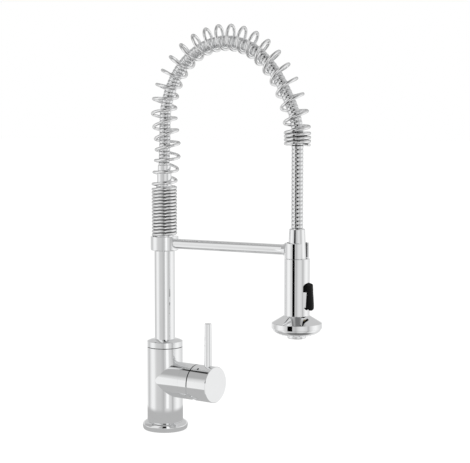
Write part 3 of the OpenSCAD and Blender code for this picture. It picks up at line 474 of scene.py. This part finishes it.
def plated_with_seam_shade(name, rgb, low, high, heading, start, painted_shade):
    """Polished plating with painted shade as a dark line where the piece starts, along a level
    heading; the shade is stronger higher up.
    """
    material = plated(name, rgb, low, high)
    tree = material.node_tree
    base = tree.nodes["Principled BSDF"].inputs["Base Color"]
    split = tree.nodes.new("ShaderNodeSeparateXYZ")
    tree.links.new(tree.nodes.new("ShaderNodeTexCoord").outputs["Object"], split.inputs[0])
    x, y, z = split.outputs
    along = calc(tree, "ADD", calc(tree, "MULTIPLY", x, math.cos(heading)),
                 calc(tree, "MULTIPLY", y, math.sin(heading)))
    # painted shade: dark along the seam where the cap starts, stronger higher up
    seam_shade_mask = smooth_step(tree, along, start + SEAM_SHADE_EDGE[0], start + SEAM_SHADE_EDGE[1], 1.0, 0.0)
    upper_shade_share = smooth_step(tree, z, *SEAM_SHADE_FADE, SEAM_SHADE_LOW, 1.0)
    shade = mix_colours(tree, calc(tree, "MULTIPLY", seam_shade_mask, upper_shade_share), base.links[0].from_socket,
                        (*painted_shade, 1.0))
    tree.links.new(shade, base)
    return material


def wound_wire(name, rgb, painted_crevice_shade):
    """Plated wire with painted shade at its edges and painted shade where its attribute says that
    turns meet.
    """
    material, tree, shader, coords = new_material(name, 1.0)
    grain = noise(tree, coords, 420.0)
    # painted shade at the wire's edges as seen, from Layer Weight
    facing_for_rim_shade = tree.nodes.new("ShaderNodeLayerWeight").outputs["Facing"]
    painted_shade = calc(tree, "MAXIMUM", smooth_step(tree, attribute(tree, "painted_crevice_shade"), *CREVICE_SHADE_EDGE),
                smooth_step(tree, facing_for_rim_shade, *RIM_SHADE_EDGE, 0.0, RIM_PAINTED_SHADE))
    tree.links.new(ramp(tree, painted_shade, ((0.0, tuple(rgb)), (1.0, tuple(painted_crevice_shade)))),
                   shader.inputs["Base Color"])
    glossed(tree, shader, grain, 0.06, 0.10)
    bumped(tree, shader, grain, 0.00001, 0.5)
    return material


def ribbed_metal(name, rgb, groove):
    """Hose metal, painted dark as shade in its grooves: its rib attribute is 1 on a crest and 0 in
    a groove.
    """
    material, tree, shader, coords = new_material(name, 1.0)
    low, high = GROOVE_EDGE
    tree.links.new(ramp(tree, attribute(tree, "rib"), ((0.0, tuple(groove)), (low, tuple(groove)),
                                                       (high, tuple(rgb)), (1.0, tuple(rgb)))),
                   shader.inputs["Base Color"])
    grain = noise(tree, coords, 300.0)
    glossed(tree, shader, grain, 0.08, 0.16)
    bumped(tree, shader, grain, 0.00001, 0.5)
    return material


def turned_metal(name, rgb, rough):
    """Turned or brushed metal with fine rings across its length."""
    material, tree, shader, coords = new_material(name, 1.0)
    rings = noise(tree, coords, 90.0, 4.0, (1, 1, 14))
    tinted(tree, shader, rings, rgb, 0.10)
    glossed(tree, shader, rings, rough * 0.8, rough * 1.25)
    bumped(tree, shader, rings, 0.00003, 0.5)
    return material


def moulded(name, rgb, rough, grain_scale, depth, sheen=0.5):
    """Rubber, plastic or ceramic with its own fine grain."""
    material, tree, shader, coords = new_material(name)
    shader.inputs["Specular IOR Level"].default_value = sheen
    grain = noise(tree, coords, grain_scale, 5.0)
    tinted(tree, shader, grain, rgb, 0.12)
    glossed(tree, shader, grain, rough * 0.88, rough * 1.12)
    bumped(tree, shader, grain, depth, 0.6)
    return material


def make_finishes(colours):
    """A material for each material slot of the record."""
    return {
        "chrome": plated("polished chrome", colours.chrome, *CHROME_GLOSS),
        "brass": turned_metal("turned brass", colours.brass, 0.26),
        "steel": turned_metal("brushed steel", colours.steel, 0.28),
        "spring_steel": wound_wire("plated wire", colours.wire, colours.painted_crevice_shade),
        "rubber": moulded("seal rubber", colours.rubber, 0.62, 700.0, 0.00004),
        "nozzle_rubber": moulded("nozzle silicone", colours.nipple, 0.48, 900.0, 0.00003),
        "plastic": moulded("inner plastic", colours.plastic, 0.42, 500.0, 0.00002),
        "black_plastic": moulded("black plastic", colours.black, 0.45, 1500.0, 0.00002, 0.06),
        "grey_plastic": moulded("grey plastic", colours.grey, 0.38, 1500.0, 0.00002),
        "ceramic": moulded("lapped ceramic", colours.ceramic, 0.16, 300.0, 0.00001),
        "hose": ribbed_metal("ribbed metal", colours.hose, colours.groove),
    }


def finish_of(name):
    """The finish that a CAD node carries."""
    return frame["nodes"][name].data.materials[0]


# ---------- geometry trees ----------

def new_tree(name, inputs):
    """Geometry tree with a geometry in and out and the given (name, type, default) inputs."""
    tree = bpy.data.node_groups.new(name, "GeometryNodeTree")
    face = tree.interface
    face.new_socket(name="Geometry", in_out="INPUT", socket_type="NodeSocketGeometry")
    face.new_socket(name="Geometry", in_out="OUTPUT", socket_type="NodeSocketGeometry")
    for label, kind, default in inputs:
        item = face.new_socket(name=label, in_out="INPUT", socket_type=kind)
        if default is not None:
            item.default_value = default
    given = tree.nodes.new("NodeGroupInput")
    result = tree.nodes.new("NodeGroupOutput")
    return tree, given, result


def add_node(tree, kind, **values):
    """Adds a node; a value may be a number or a socket, and its name is the input's name."""
    node = tree.nodes.new(kind)
    for label, value in values.items():
        socket = next(s for s in node.inputs if s.name.replace(" ", "_") == label and s.enabled)
        feed(tree, socket, value)
    return node


def close_tree(tree, result, geometry, material):
    """Ends a tree in Realize Instances and Set Material."""
    real = add_node(tree, "GeometryNodeRealizeInstances", Geometry=geometry)
    paint = add_node(tree, "GeometryNodeSetMaterial", Geometry=real.outputs["Geometry"])
    tree.links.new(material, paint.inputs["Material"])
    tree.links.new(paint.outputs["Geometry"], result.inputs["Geometry"])


def grow(name, mesh, tree, values):
    """Runs a geometry tree on a mesh and returns the plain result as a new object."""
    seed = bpy.data.objects.new(name + "_seed", mesh)
    bpy.context.scene.collection.objects.link(seed)
    modifier = seed.modifiers.new("grow", "NODES")
    modifier.node_group = tree
    keys = {i.name: i.identifier for i in tree.interface.items_tree if i.in_out == "INPUT"}
    for label, value in values.items():
        modifier[keys[label]] = value
    graph = bpy.context.evaluated_depsgraph_get()
    grown = bpy.data.meshes.new_from_object(seed.evaluated_get(graph), depsgraph=graph)
    bpy.data.objects.remove(seed)
    grown.name = name
    return link(name, grown)


def link(name, mesh):
    obj = bpy.data.objects.new(name, mesh)
    bpy.context.scene.collection.objects.link(obj)
    return obj


def line_mesh(name, points):
    mesh = bpy.data.meshes.new(name)
    mesh.from_pydata(points, [(i, i + 1) for i in range(len(points) - 1)], [])
    return mesh


def named(tree, name, kind):
    """Output of a named attribute."""
    node = tree.nodes.new("GeometryNodeInputNamedAttribute")
    node.data_type = kind
    node.inputs["Name"].default_value = name
    return next(s for s in node.outputs if s.name == "Attribute" and s.enabled)


def store(tree, geometry, name, value):
    """Stores a number on the points of a geometry."""
    node = add_node(tree, "GeometryNodeStoreNamedAttribute", Geometry=geometry, Name=name)
    node.data_type = "FLOAT"
    node.domain = "POINT"
    tree.links.new(value, next(s for s in node.inputs if s.name == "Value" and s.enabled))
    return node.outputs["Geometry"]


def wire_tree():
    """Sweeps a round wire along a line of points."""
    tree, given, result = new_tree("wound wire", (("Radius", "NodeSocketFloat", 0.002),
                                                  ("Sides", "NodeSocketInt", 14),
                                                  ("Finish", "NodeSocketMaterial", None)))
    path = add_node(tree, "GeometryNodeMeshToCurve", Mesh=given.outputs["Geometry"])
    section = add_node(tree, "GeometryNodeCurvePrimitiveCircle",
                       Resolution=given.outputs["Sides"], Radius=given.outputs["Radius"])
    sweep = add_node(tree, "GeometryNodeCurveToMesh", Curve=path.outputs["Curve"],
                     Profile_Curve=section.outputs["Curve"], Fill_Caps=True)
    normal = tree.nodes.new("GeometryNodeInputNormal").outputs["Normal"]
    # painted crevice shade, strongest where the wire faces the next turn
    facing = measure(tree, "DOT_PRODUCT", normal, named(tree, "lay", "FLOAT_VECTOR"))
    painted_crevice_shade = calc(tree, "MULTIPLY", calc(tree, "ABSOLUTE", facing), named(tree, "close", "FLOAT"))
    marked = store(tree, sweep.outputs["Mesh"], "painted_crevice_shade", painted_crevice_shade)
    smooth = add_node(tree, "GeometryNodeSetShadeSmooth", Geometry=marked)
    close_tree(tree, result, smooth.outputs["Geometry"], given.outputs["Finish"])
    return tree


CREST_POWER = 0.45                       # below 1, which makes crests wide and grooves narrow


def hose_tree():
    """Sweeps a ribbed tube: rounded crests with a narrow groove between them."""
    tree, given, result = new_tree("ribbed hose", (("Radius", "NodeSocketFloat", 0.008),
                                                   ("Groove", "NodeSocketFloat", 0.0005),
                                                   ("Pitch", "NodeSocketFloat", 0.005),
                                                   ("Rings", "NodeSocketInt", 10),
                                                   ("Sides", "NodeSocketInt", 32),
                                                   ("Finish", "NodeSocketMaterial", None)))
    path = add_node(tree, "GeometryNodeMeshToCurve", Mesh=given.outputs["Geometry"])
    step = calc(tree, "DIVIDE", given.outputs["Pitch"], given.outputs["Rings"])
    even = add_node(tree, "GeometryNodeResampleCurve", Curve=path.outputs["Curve"])
    even.mode = "LENGTH"
    tree.links.new(step, next(s for s in even.inputs if s.name == "Length"))
    along = tree.nodes.new("GeometryNodeSplineParameter").outputs["Length"]
    turn = calc(tree, "DIVIDE", along, given.outputs["Pitch"])
    wave = calc(tree, "ABSOLUTE", calc(tree, "SINE", calc(tree, "MULTIPLY", turn, math.pi)))
    crest = calc(tree, "POWER", wave, CREST_POWER)
    depth = calc(tree, "MULTIPLY", calc(tree, "SUBTRACT", 1.0, crest), given.outputs["Groove"])
    radius = calc(tree, "SUBTRACT", given.outputs["Radius"], depth)
    # the rib value also sets the painted shade in the grooves
    marked = store(tree, even.outputs["Curve"], "rib", crest)
    section = add_node(tree, "GeometryNodeCurvePrimitiveCircle", Resolution=given.outputs["Sides"],
                       Radius=1.0)
    sweep = add_node(tree, "GeometryNodeCurveToMesh", Curve=marked,
                     Profile_Curve=section.outputs["Curve"], Scale=radius, Fill_Caps=True)
    smooth = add_node(tree, "GeometryNodeSetShadeSmooth", Geometry=sweep.outputs["Mesh"])
    close_tree(tree, result, smooth.outputs["Geometry"], given.outputs["Finish"])
    return tree


def turn_outwards(obj):
    """Turns a grown mesh's faces outwards."""
    shape = bmesh.new()
    shape.from_mesh(obj.data)
    bmesh.ops.recalc_face_normals(shape, faces=shape.faces)
    shape.to_mesh(obj.data)
    shape.free()


# ---------- operators: pieces ----------

class FAUCET_OT_finishes(Operator):
    """Give every CAD node its finish"""
    bl_idname = "faucet.finishes"
    bl_label = "Finishes"

    def execute(self, context):
        colours = context.scene.faucet_finish
        finishes = make_finishes(colours)
        slots = {row["node"]: row["material_slot"] for row in frame["record"]["subparts"]}
        for name, node in frame["nodes"].items():
            node.data.materials.clear()
            node.data.materials.append(finishes[slots[name]])
        # the lever cap's plating gets painted shade along its seam with the sleeve
        frame["nodes"]["lever_cap"].data.materials[0] = plated_with_seam_shade(
            "plated cap with painted seam shade", colours.chrome, *CHROME_GLOSS, LEVER_TURN, SEAM, SEAM_SHADE_COLOUR)
        return {"FINISHED"}


class FAUCET_OT_spring(Operator):
    """Wind the support spring along its route"""
    bl_idname = "faucet.spring"
    bl_label = "Support spring"

    def execute(self, context):
        scene = context.scene
        spring = scene.faucet_spring
        line = Route(scene.faucet_arch, spring)
        points, close, lay = spring_path(spring, line)
        path = line_mesh("spring_path", points)
        path.attributes.new("close", "FLOAT", "POINT").data.foreach_set("value", close)
        path.attributes.new("lay", "FLOAT_VECTOR", "POINT").data.foreach_set(
            "vector", [v for way in lay for v in way])
        coil = grow("wound_spring", path, wire_tree(),
                    {"Radius": spring.wire / 2, "Sides": spring.sides,
                     "Finish": finish_of("support_spring")})
        turn_outwards(coil)
        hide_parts("support_spring")
        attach(coil, "spout")
        return {"FINISHED"}


class FAUCET_OT_hose(Operator):
    """Lay the ribbed hose from its ferrule to the neck"""
    bl_idname = "faucet.hose"
    bl_label = "Hose"

    def execute(self, context):
        scene = context.scene
        hose = scene.faucet_hose
        line = Route(scene.faucet_arch, scene.faucet_spring)
        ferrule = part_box("lower_ferrule")[1].z
        foot = ferrule - HOSE_SUNK
        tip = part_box("upper_ferrule")[0].z
        path = line_mesh("hose_path", hose_path(hose, line, foot, tip, ferrule - SEAT_Z))
        tube = grow("ribbed_hose", path, hose_tree(),
                    {"Radius": hose.outer / 2, "Groove": hose.groove, "Pitch": hose.pitch,
                     "Rings": hose.rings, "Sides": hose.sides, "Finish": finish_of("hose")})
        turn_outwards(tube)
        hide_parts("hose")
        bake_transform(tube)
        return {"FINISHED"}

# ---------- operators: stage ----------

WHITE = (1.0, 1.0, 1.0)
MIRROR_GAIN = 1.07                        # strength of all that polished surfaces mirror

# What polished surfaces mirror near the horizon and below: degrees from the camera, grey.
BANDS = ((-180, 235), (-138, 225), (-128, 192), (-116, 200), (-105, 218), (-92, 240),
         (-78, 242), (-68, 233), (-58, 212), (-50, 203), (-38, 200), (-28, 199), (-16, 190),
         (-6, 180), (0, 200), (8, 215), (16, 220), (26, 222), (36, 212), (45, 205), (50, 182),
         (55, 182), (60, 208), (70, 224), (80, 240), (95, 246), (115, 230), (130, 222),
         (145, 212), (160, 225), (180, 235))
CAMERA_AZIMUTH = -60.0                    # direction from the object to the camera

# What they mirror higher up. Turns are parts of the full circle from BACK, heights are degrees.
BACK = 175 / 360                          # direction that turns are counted from
BAND_TOP = (5.5, 13.0)                    # heights between which the bands give way to the wall
WALL_EDGE, WALL_GREYS = (-0.06, 0.02), (196, 172)     # turns and greys where the wall darkens
SIDE_RISE, SIDE_FALL, SIDE_GAIN = (0.125, 0.150), (0.24, 0.28), 0.38    # a brighter stretch
LINE_HEIGHT, LINE_EDGE, LINE_DARK = 53.0, (0.8, 2.0), 0.08   # a thin dark line along the wall
LINE_REACH = (0.07, 0.10)                 # turns within which it ends
CEILING_EDGE, CEILING = (58.0, 70.0), 0.42            # heights where it darkens, and the share
PATCH_TURN, PATCH_SIDE = 0.361, (0.042, 0.052)        # a dark patch: its middle and half width
PATCH_HEIGHT, PATCH_RISE, PATCH = 30.0, (21.0, 23.0), 0.01   # middle, half height and share
DEPTH_EDGE, DEPTH = (-62.0, -40.0), 0.25              # heights far below, and their share

# The floor.
FLOOR_GLOW, FLOOR_MATT = 0.90, 0.22       # as the camera sees it: near white, with a soft shadow
FLOOR_GREY = 0.85                         # as it lights the object
FOOT_GREY, FOOT_EDGE = 179, (0.135, 0.170)            # round the foot, as polished parts mirror it
FLOOR_SIZE = 40

# Heading in degrees and distance of the card beside the body.
SIDE_CARD, SIDE_CARD_AWAY = -43, 0.167
# Cards: name, place, width, bottom, top, heading in degrees, grey.
CARDS = (("black_card", (REACH + 0.006, -0.300), 0.190, 0.090, 0.520, 34.4, 5),
         ("white_card", (SIDE_CARD_AWAY * math.cos(math.radians(SIDE_CARD)),
                         SIDE_CARD_AWAY * math.sin(math.radians(SIDE_CARD))),
          0.042, 0.001, 0.260, SIDE_CARD, 250))

LAMP_SIZE = 1.4
LAMP_PLACE, LAMP_AIM = Vector((-0.5, -1.0, 1.9)), Vector((0.1, 0, 0.2))


def emitter(tree, kind, shade, strength):
    """An Emission or Background shader; the shade is a socket or a linear colour."""
    node = tree.nodes.new(kind)
    feed(tree, node.inputs["Color"],
         shade if isinstance(shade, bpy.types.NodeSocket) else (*shade, 1.0))
    node.inputs["Strength"].default_value = strength
    return node.outputs[0]


def matt(tree, level):
    node = tree.nodes.new("ShaderNodeBsdfDiffuse")
    node.inputs["Color"].default_value = (level, level, level, 1.0)
    return node.outputs[0]


def choose(tree, factor, first, second):
    """The first shader where the factor is 0, and the second where it is 1."""
    node = tree.nodes.new("ShaderNodeMixShader")
    for socket, source in zip(node.inputs, (factor, first, second)):
        tree.links.new(source, socket)
    return node.outputs[0]


def bare_material(name):
    """A material without a shader, and its tree."""
    material = bpy.data.materials.new(name)
    material.use_nodes = True
    material.node_tree.nodes.clear()
    return material, material.node_tree


def end_in(tree, kind, surface):
    """Ends a material's or the world's tree in an output node."""
    tree.links.new(surface, tree.nodes.new(kind).inputs["Surface"])


def wall_grey(tree, back, height):
    """Grey of the mirrored wall and ceiling, by turns from the back and by height."""
    grey = smooth_step(tree, back, *WALL_EDGE, *(linear(g) for g in WALL_GREYS))
    beside = calc(tree, "MULTIPLY", smooth_step(tree, back, *SIDE_RISE, 0.0, SIDE_GAIN),
                  smooth_step(tree, back, *SIDE_FALL, 1.0, 0.0))
    grey = calc(tree, "ADD", grey, beside)
    line = smooth_step(tree, off(tree, height, LINE_HEIGHT), *LINE_EDGE, LINE_DARK, 1.0)
    beyond = smooth_step(tree, calc(tree, "ABSOLUTE", back), *LINE_REACH)
    grey = calc(tree, "MULTIPLY", grey, calc(tree, "MAXIMUM", line, beyond))
    return calc(tree, "MULTIPLY", grey, smooth_step(tree, height, *CEILING_EDGE, 1.0, CEILING))


def mirrored_room(tree):
    """What polished surfaces mirror, by direction."""
    way = tree.nodes.new("ShaderNodeTexCoord").outputs["Generated"]
    split = tree.nodes.new("ShaderNodeSeparateXYZ")
    tree.links.new(way, split.inputs[0])
    x, y, z = split.outputs
    azimuth = calc(tree, "DEGREES", calc(tree, "ARCTAN2", y, x))
    height = calc(tree, "DEGREES", calc(tree, "ARCSINE", z))
    turned = calc(tree, "SUBTRACT", azimuth, CAMERA_AZIMUTH - 180)
    turn = calc(tree, "FRACT", calc(tree, "DIVIDE", turned, 360.0))
    bands = ramp(tree, turn, [((a + 180) / 360, linear(g)) for a, g in BANDS])
    back = calc(tree, "SUBTRACT", calc(tree, "FRACT", calc(tree, "DIVIDE", azimuth, 360.0)), BACK)
    room = mix_colours(tree, smooth_step(tree, height, *BAND_TOP), bands,
                       wall_grey(tree, back, height))
    patch = calc(tree, "MAXIMUM",
                 smooth_step(tree, off(tree, back, PATCH_TURN), *PATCH_SIDE),
                 smooth_step(tree, off(tree, height, PATCH_HEIGHT), *PATCH_RISE))
    share = calc(tree, "MULTIPLY", smooth_step(tree, patch, 0.0, 1.0, PATCH, 1.0),
                 smooth_step(tree, height, *DEPTH_EDGE, DEPTH, 1.0))
    darker = add_math(tree, "ShaderNodeVectorMath", "SCALE", (room,))
    tree.links.new(share, darker.inputs["Scale"])
    return darker.outputs["Vector"]


def studio_world(level):
    """Plain light for matt surfaces, soft bands for polished ones and white for the camera."""
    world = bpy.data.worlds.new("studio")
    bpy.context.scene.world = world
    world.use_nodes = True
    tree = world.node_tree
    tree.nodes.clear()
    light = tree.nodes.new("ShaderNodeLightPath").outputs
    kind = "ShaderNodeBackground"
    mirror = calc(tree, "MAXIMUM", light["Is Glossy Ray"], light["Is Transmission Ray"])
    unseen = choose(tree, mirror, emitter(tree, kind, WHITE, level),
                    emitter(tree, kind, mirrored_room(tree), MIRROR_GAIN))
    end_in(tree, "ShaderNodeOutputWorld",
           choose(tree, light["Is Camera Ray"], unseen, emitter(tree, kind, WHITE, 1.0)))


def floor_material():
    """Near white with the object's soft shadow; grey round the foot for polished parts."""
    material, tree = bare_material("pale floor")
    coords = tree.nodes.new("ShaderNodeTexCoord").outputs["Object"]
    light = tree.nodes.new("ShaderNodeLightPath").outputs
    kind = "ShaderNodeEmission"
    seen = tree.nodes.new("ShaderNodeAddShader")
    tree.links.new(matt(tree, FLOOR_MATT), seen.inputs[0])
    tree.links.new(emitter(tree, kind, WHITE, FLOOR_GLOW), seen.inputs[1])
    mirrored = choose(tree, smooth_step(tree, measure(tree, "LENGTH", coords), *FOOT_EDGE),
                      emitter(tree, kind, (linear(FOOT_GREY),) * 3, MIRROR_GAIN),
                      tree.nodes.new("ShaderNodeBsdfTransparent").outputs[0])
    unseen = choose(tree, light["Is Glossy Ray"], matt(tree, FLOOR_GREY), mirrored)
    end_in(tree, "ShaderNodeOutputMaterial",
           choose(tree, light["Is Camera Ray"], unseen, seen.outputs[0]))
    return material


def sheet_mesh(name, points, face, material):
    mesh = bpy.data.meshes.new(name)
    mesh.from_pydata(points, [], [face])
    mesh.materials.append(material)
    return mesh


def add_card(name, place, wide, low, high, heading, grey):
    """Adds an upright card that only polished surfaces see."""
    turn = math.radians(heading)
    side = Vector((-math.sin(turn), math.cos(turn), 0)) * wide / 2
    middle = Vector((*place, 0))
    points = [(p.x, p.y, z) for z in (low, high) for p in (middle - side, middle + side)]
    material, tree = bare_material(name)
    end_in(tree, "ShaderNodeOutputMaterial",
           emitter(tree, "ShaderNodeEmission", (linear(grey),) * 3, MIRROR_GAIN))
    obj = link(name, sheet_mesh(name, points, (0, 1, 3, 2), material))
    obj.visible_camera = obj.visible_diffuse = obj.visible_shadow = False
    obj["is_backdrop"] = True


def face_along(obj, place, way):
    """Adds a lamp or a camera to the scene at a place, facing along a direction."""
    bpy.context.scene.collection.objects.link(obj)
    obj.location = place
    obj.rotation_mode = "QUATERNION"
    obj.rotation_quaternion = way.to_track_quat("-Z", "Y")


def add_lamp(power):
    data = bpy.data.lights.new("soft lamp", "AREA")
    data.shape = "DISK"
    data.size = LAMP_SIZE
    data.energy = power
    lamp = bpy.data.objects.new("soft lamp", data)
    face_along(lamp, LAMP_PLACE, LAMP_AIM - LAMP_PLACE)
    lamp.visible_glossy = False


def add_camera(stage):
    data = bpy.data.cameras.new("camera")
    data.sensor_width = 36.0
    data.sensor_fit = "AUTO"
    data.lens = stage.lens
    data.clip_end = 100.0
    data.dof.use_dof = False
    camera = bpy.data.objects.new("camera", data)
    level = math.cos(stage.pitch)
    face_along(camera, stage.eye, Vector((level * math.cos(stage.yaw), level * math.sin(stage.yaw),
                                          math.sin(stage.pitch))))
    bpy.context.scene.camera = camera


class FAUCET_OT_stage(Operator):
    """Set up the floor, the surrounding light, the cards, the lamp and the camera"""
    bl_idname = "faucet.stage"
    bl_label = "Stage"

    def execute(self, context):
        stage = context.scene.faucet_stage
        context.scene.view_settings.view_transform = "Standard"
        studio_world(stage.fill)
        size = FLOOR_SIZE
        floor = sheet_mesh("floor", [(-size, -size, 0), (size, -size, 0), (size, size, 0),
                                     (-size, size, 0)], (0, 1, 2, 3), floor_material())
        link("floor", floor)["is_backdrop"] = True
        for card in CARDS:
            add_card(*card)
        add_lamp(stage.lamp)
        add_camera(stage)
        return {"FINISHED"}


# ---------- panel and registration ----------

SETTINGS = (("faucet_arch", FaucetArch), ("faucet_spring", FaucetSpring),
            ("faucet_hose", FaucetHose), ("faucet_finish", FaucetFinish),
            ("faucet_stage", FaucetStage))
STEPS = (FAUCET_OT_stage, FAUCET_OT_finishes, FAUCET_OT_spring, FAUCET_OT_hose)


class FAUCET_PT_panel(Panel):
    """Lists the faucet's pieces and their sizes"""
    bl_idname = "FAUCET_PT_panel"
    bl_label = "Spring-neck faucet"
    bl_space_type = "VIEW_3D"
    bl_region_type = "UI"
    bl_category = "Faucet"

    def draw(self, context):
        for step in STEPS:
            self.layout.operator(step.bl_idname)
        for label, kind in SETTINGS:
            box = self.layout.box()
            group = getattr(context.scene, label)
            for name in kind.__annotations__:
                box.prop(group, name)


def register():
    for kind in (*(group for _, group in SETTINGS), *STEPS, FAUCET_PT_panel):
        bpy.utils.register_class(kind)
    for label, kind in SETTINGS:
        setattr(bpy.types.Scene, label, PointerProperty(type=kind))


def unregister():
    for label, _ in reversed(SETTINGS):
        delattr(bpy.types.Scene, label)
    for kind in (FAUCET_PT_panel, *reversed(STEPS), *(group for _, group in reversed(SETTINGS))):
        bpy.utils.unregister_class(kind)


# ---------- image points ----------

# Name, x and y in the photograph (None where only one is meant), side that is measured, pieces.
IMAGE_POINTS = (
    ("left of the flange", 141.6, None, "left", ("deck_flange",)),
    ("right of the bell", 323.15, None, "right", ("bell",)),
    ("top of the coil", None, 22.46, "top", ("wound_spring",)),
    ("bottom of the flange", None, 433.5, "bottom", ("deck_flange",)),
    ("left of the column", 154.54, None, "left", ("column",)),
    ("right of the column", 175.30, None, "right", ("column",)),
    ("left of the body", 146.8, None, "left", ("valve_body",)),
    ("left of the arm collar", 150.8, None, "left", ("arm_collar",)),
    ("left of the head", 283.7, None, "left", ("head_body",)),
    ("right of the dock", 309.4, None, "right", ("dock_ring",)),
    ("left of the bell", 272.1, None, "left", ("bell",)),
    ("left of the neck", 287.68, None, "left", ("neck",)),
    ("bottom of the aerator", None, 339.3, "bottom", ("aerator_ring",)),
    ("top of the lever", None, 322.7, "top", ("lever_rod",)),
    ("right of the cap", 226.3, None, "right", ("lever_cap",)),
    ("bottom of the cap", None, 403.85, "bottom", ("lever_cap",)),
    ("right of the rocker", 314.4, None, "right", ("rocker",)),
    ("top of the rocker", None, 282.9, "top", ("rocker",)),
    ("bottom of the rocker", None, 310.7, "bottom", ("rocker",)),
)


def on_picture(camera, place):
    """Where a point shows in the photograph's frame, in pixels."""
    data = camera.data
    wide = max(SHOT_W, SHOT_H)
    p = camera.matrix_world.inverted() @ place
    scale = wide * data.lens / data.sensor_width / -p.z
    return (SHOT_W / 2 - data.shift_x * wide + p.x * scale,
            SHOT_H / 2 + data.shift_y * wide - p.y * scale)


def shown_meshes():
    """World-space vertices and triangles of every shown piece."""
    graph = bpy.context.evaluated_depsgraph_get()
    shown = {}
    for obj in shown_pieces():
        final = obj.evaluated_get(graph)
        mesh = final.to_mesh()
        mesh.calc_loop_triangles()
        points = [final.matrix_world @ v.co for v in mesh.vertices]
        shown[obj.name] = (points, [tuple(t.vertices) for t in mesh.loop_triangles])
        final.to_mesh_clear()
    return shown


SIGHT_PAST = 1.0 * MM                     # a ray runs on this far past the vertex that it aims at
SIGHT_SLACK = 0.8 * MM                    # a vertex shows if no face is nearer by more than this


def write_points():
    """Finds where the shown vertices of each named point's pieces fall in the photograph's frame.
    """
    camera = bpy.context.scene.camera
    bpy.context.view_layer.update()
    shown = shown_meshes()
    points, faces = [], []
    for own, triangles in shown.values():
        first = len(points)
        points += own
        faces += [(a + first, b + first, c + first) for a, b, c in triangles]
    everything = BVHTree.FromPolygons(points, faces)
    eye = camera.matrix_world.translation
    for name, x, y, side, pieces in IMAGE_POINTS:
        spots = []
        for place in (p for piece in pieces for p in shown[piece][0]):
            sight = place - eye
            hit = everything.ray_cast(eye, sight.normalized(), sight.length + SIGHT_PAST)
            if hit[0] is None or hit[3] > sight.length - SIGHT_SLACK:
                spots.append(on_picture(camera, place))
        if not spots:
            continue


def main():
    register()
    for step in STEPS:
        group, name = step.bl_idname.split(".")
        getattr(getattr(bpy.ops, group), name)()
    write_points()


if __name__ == "__main__":
    main()
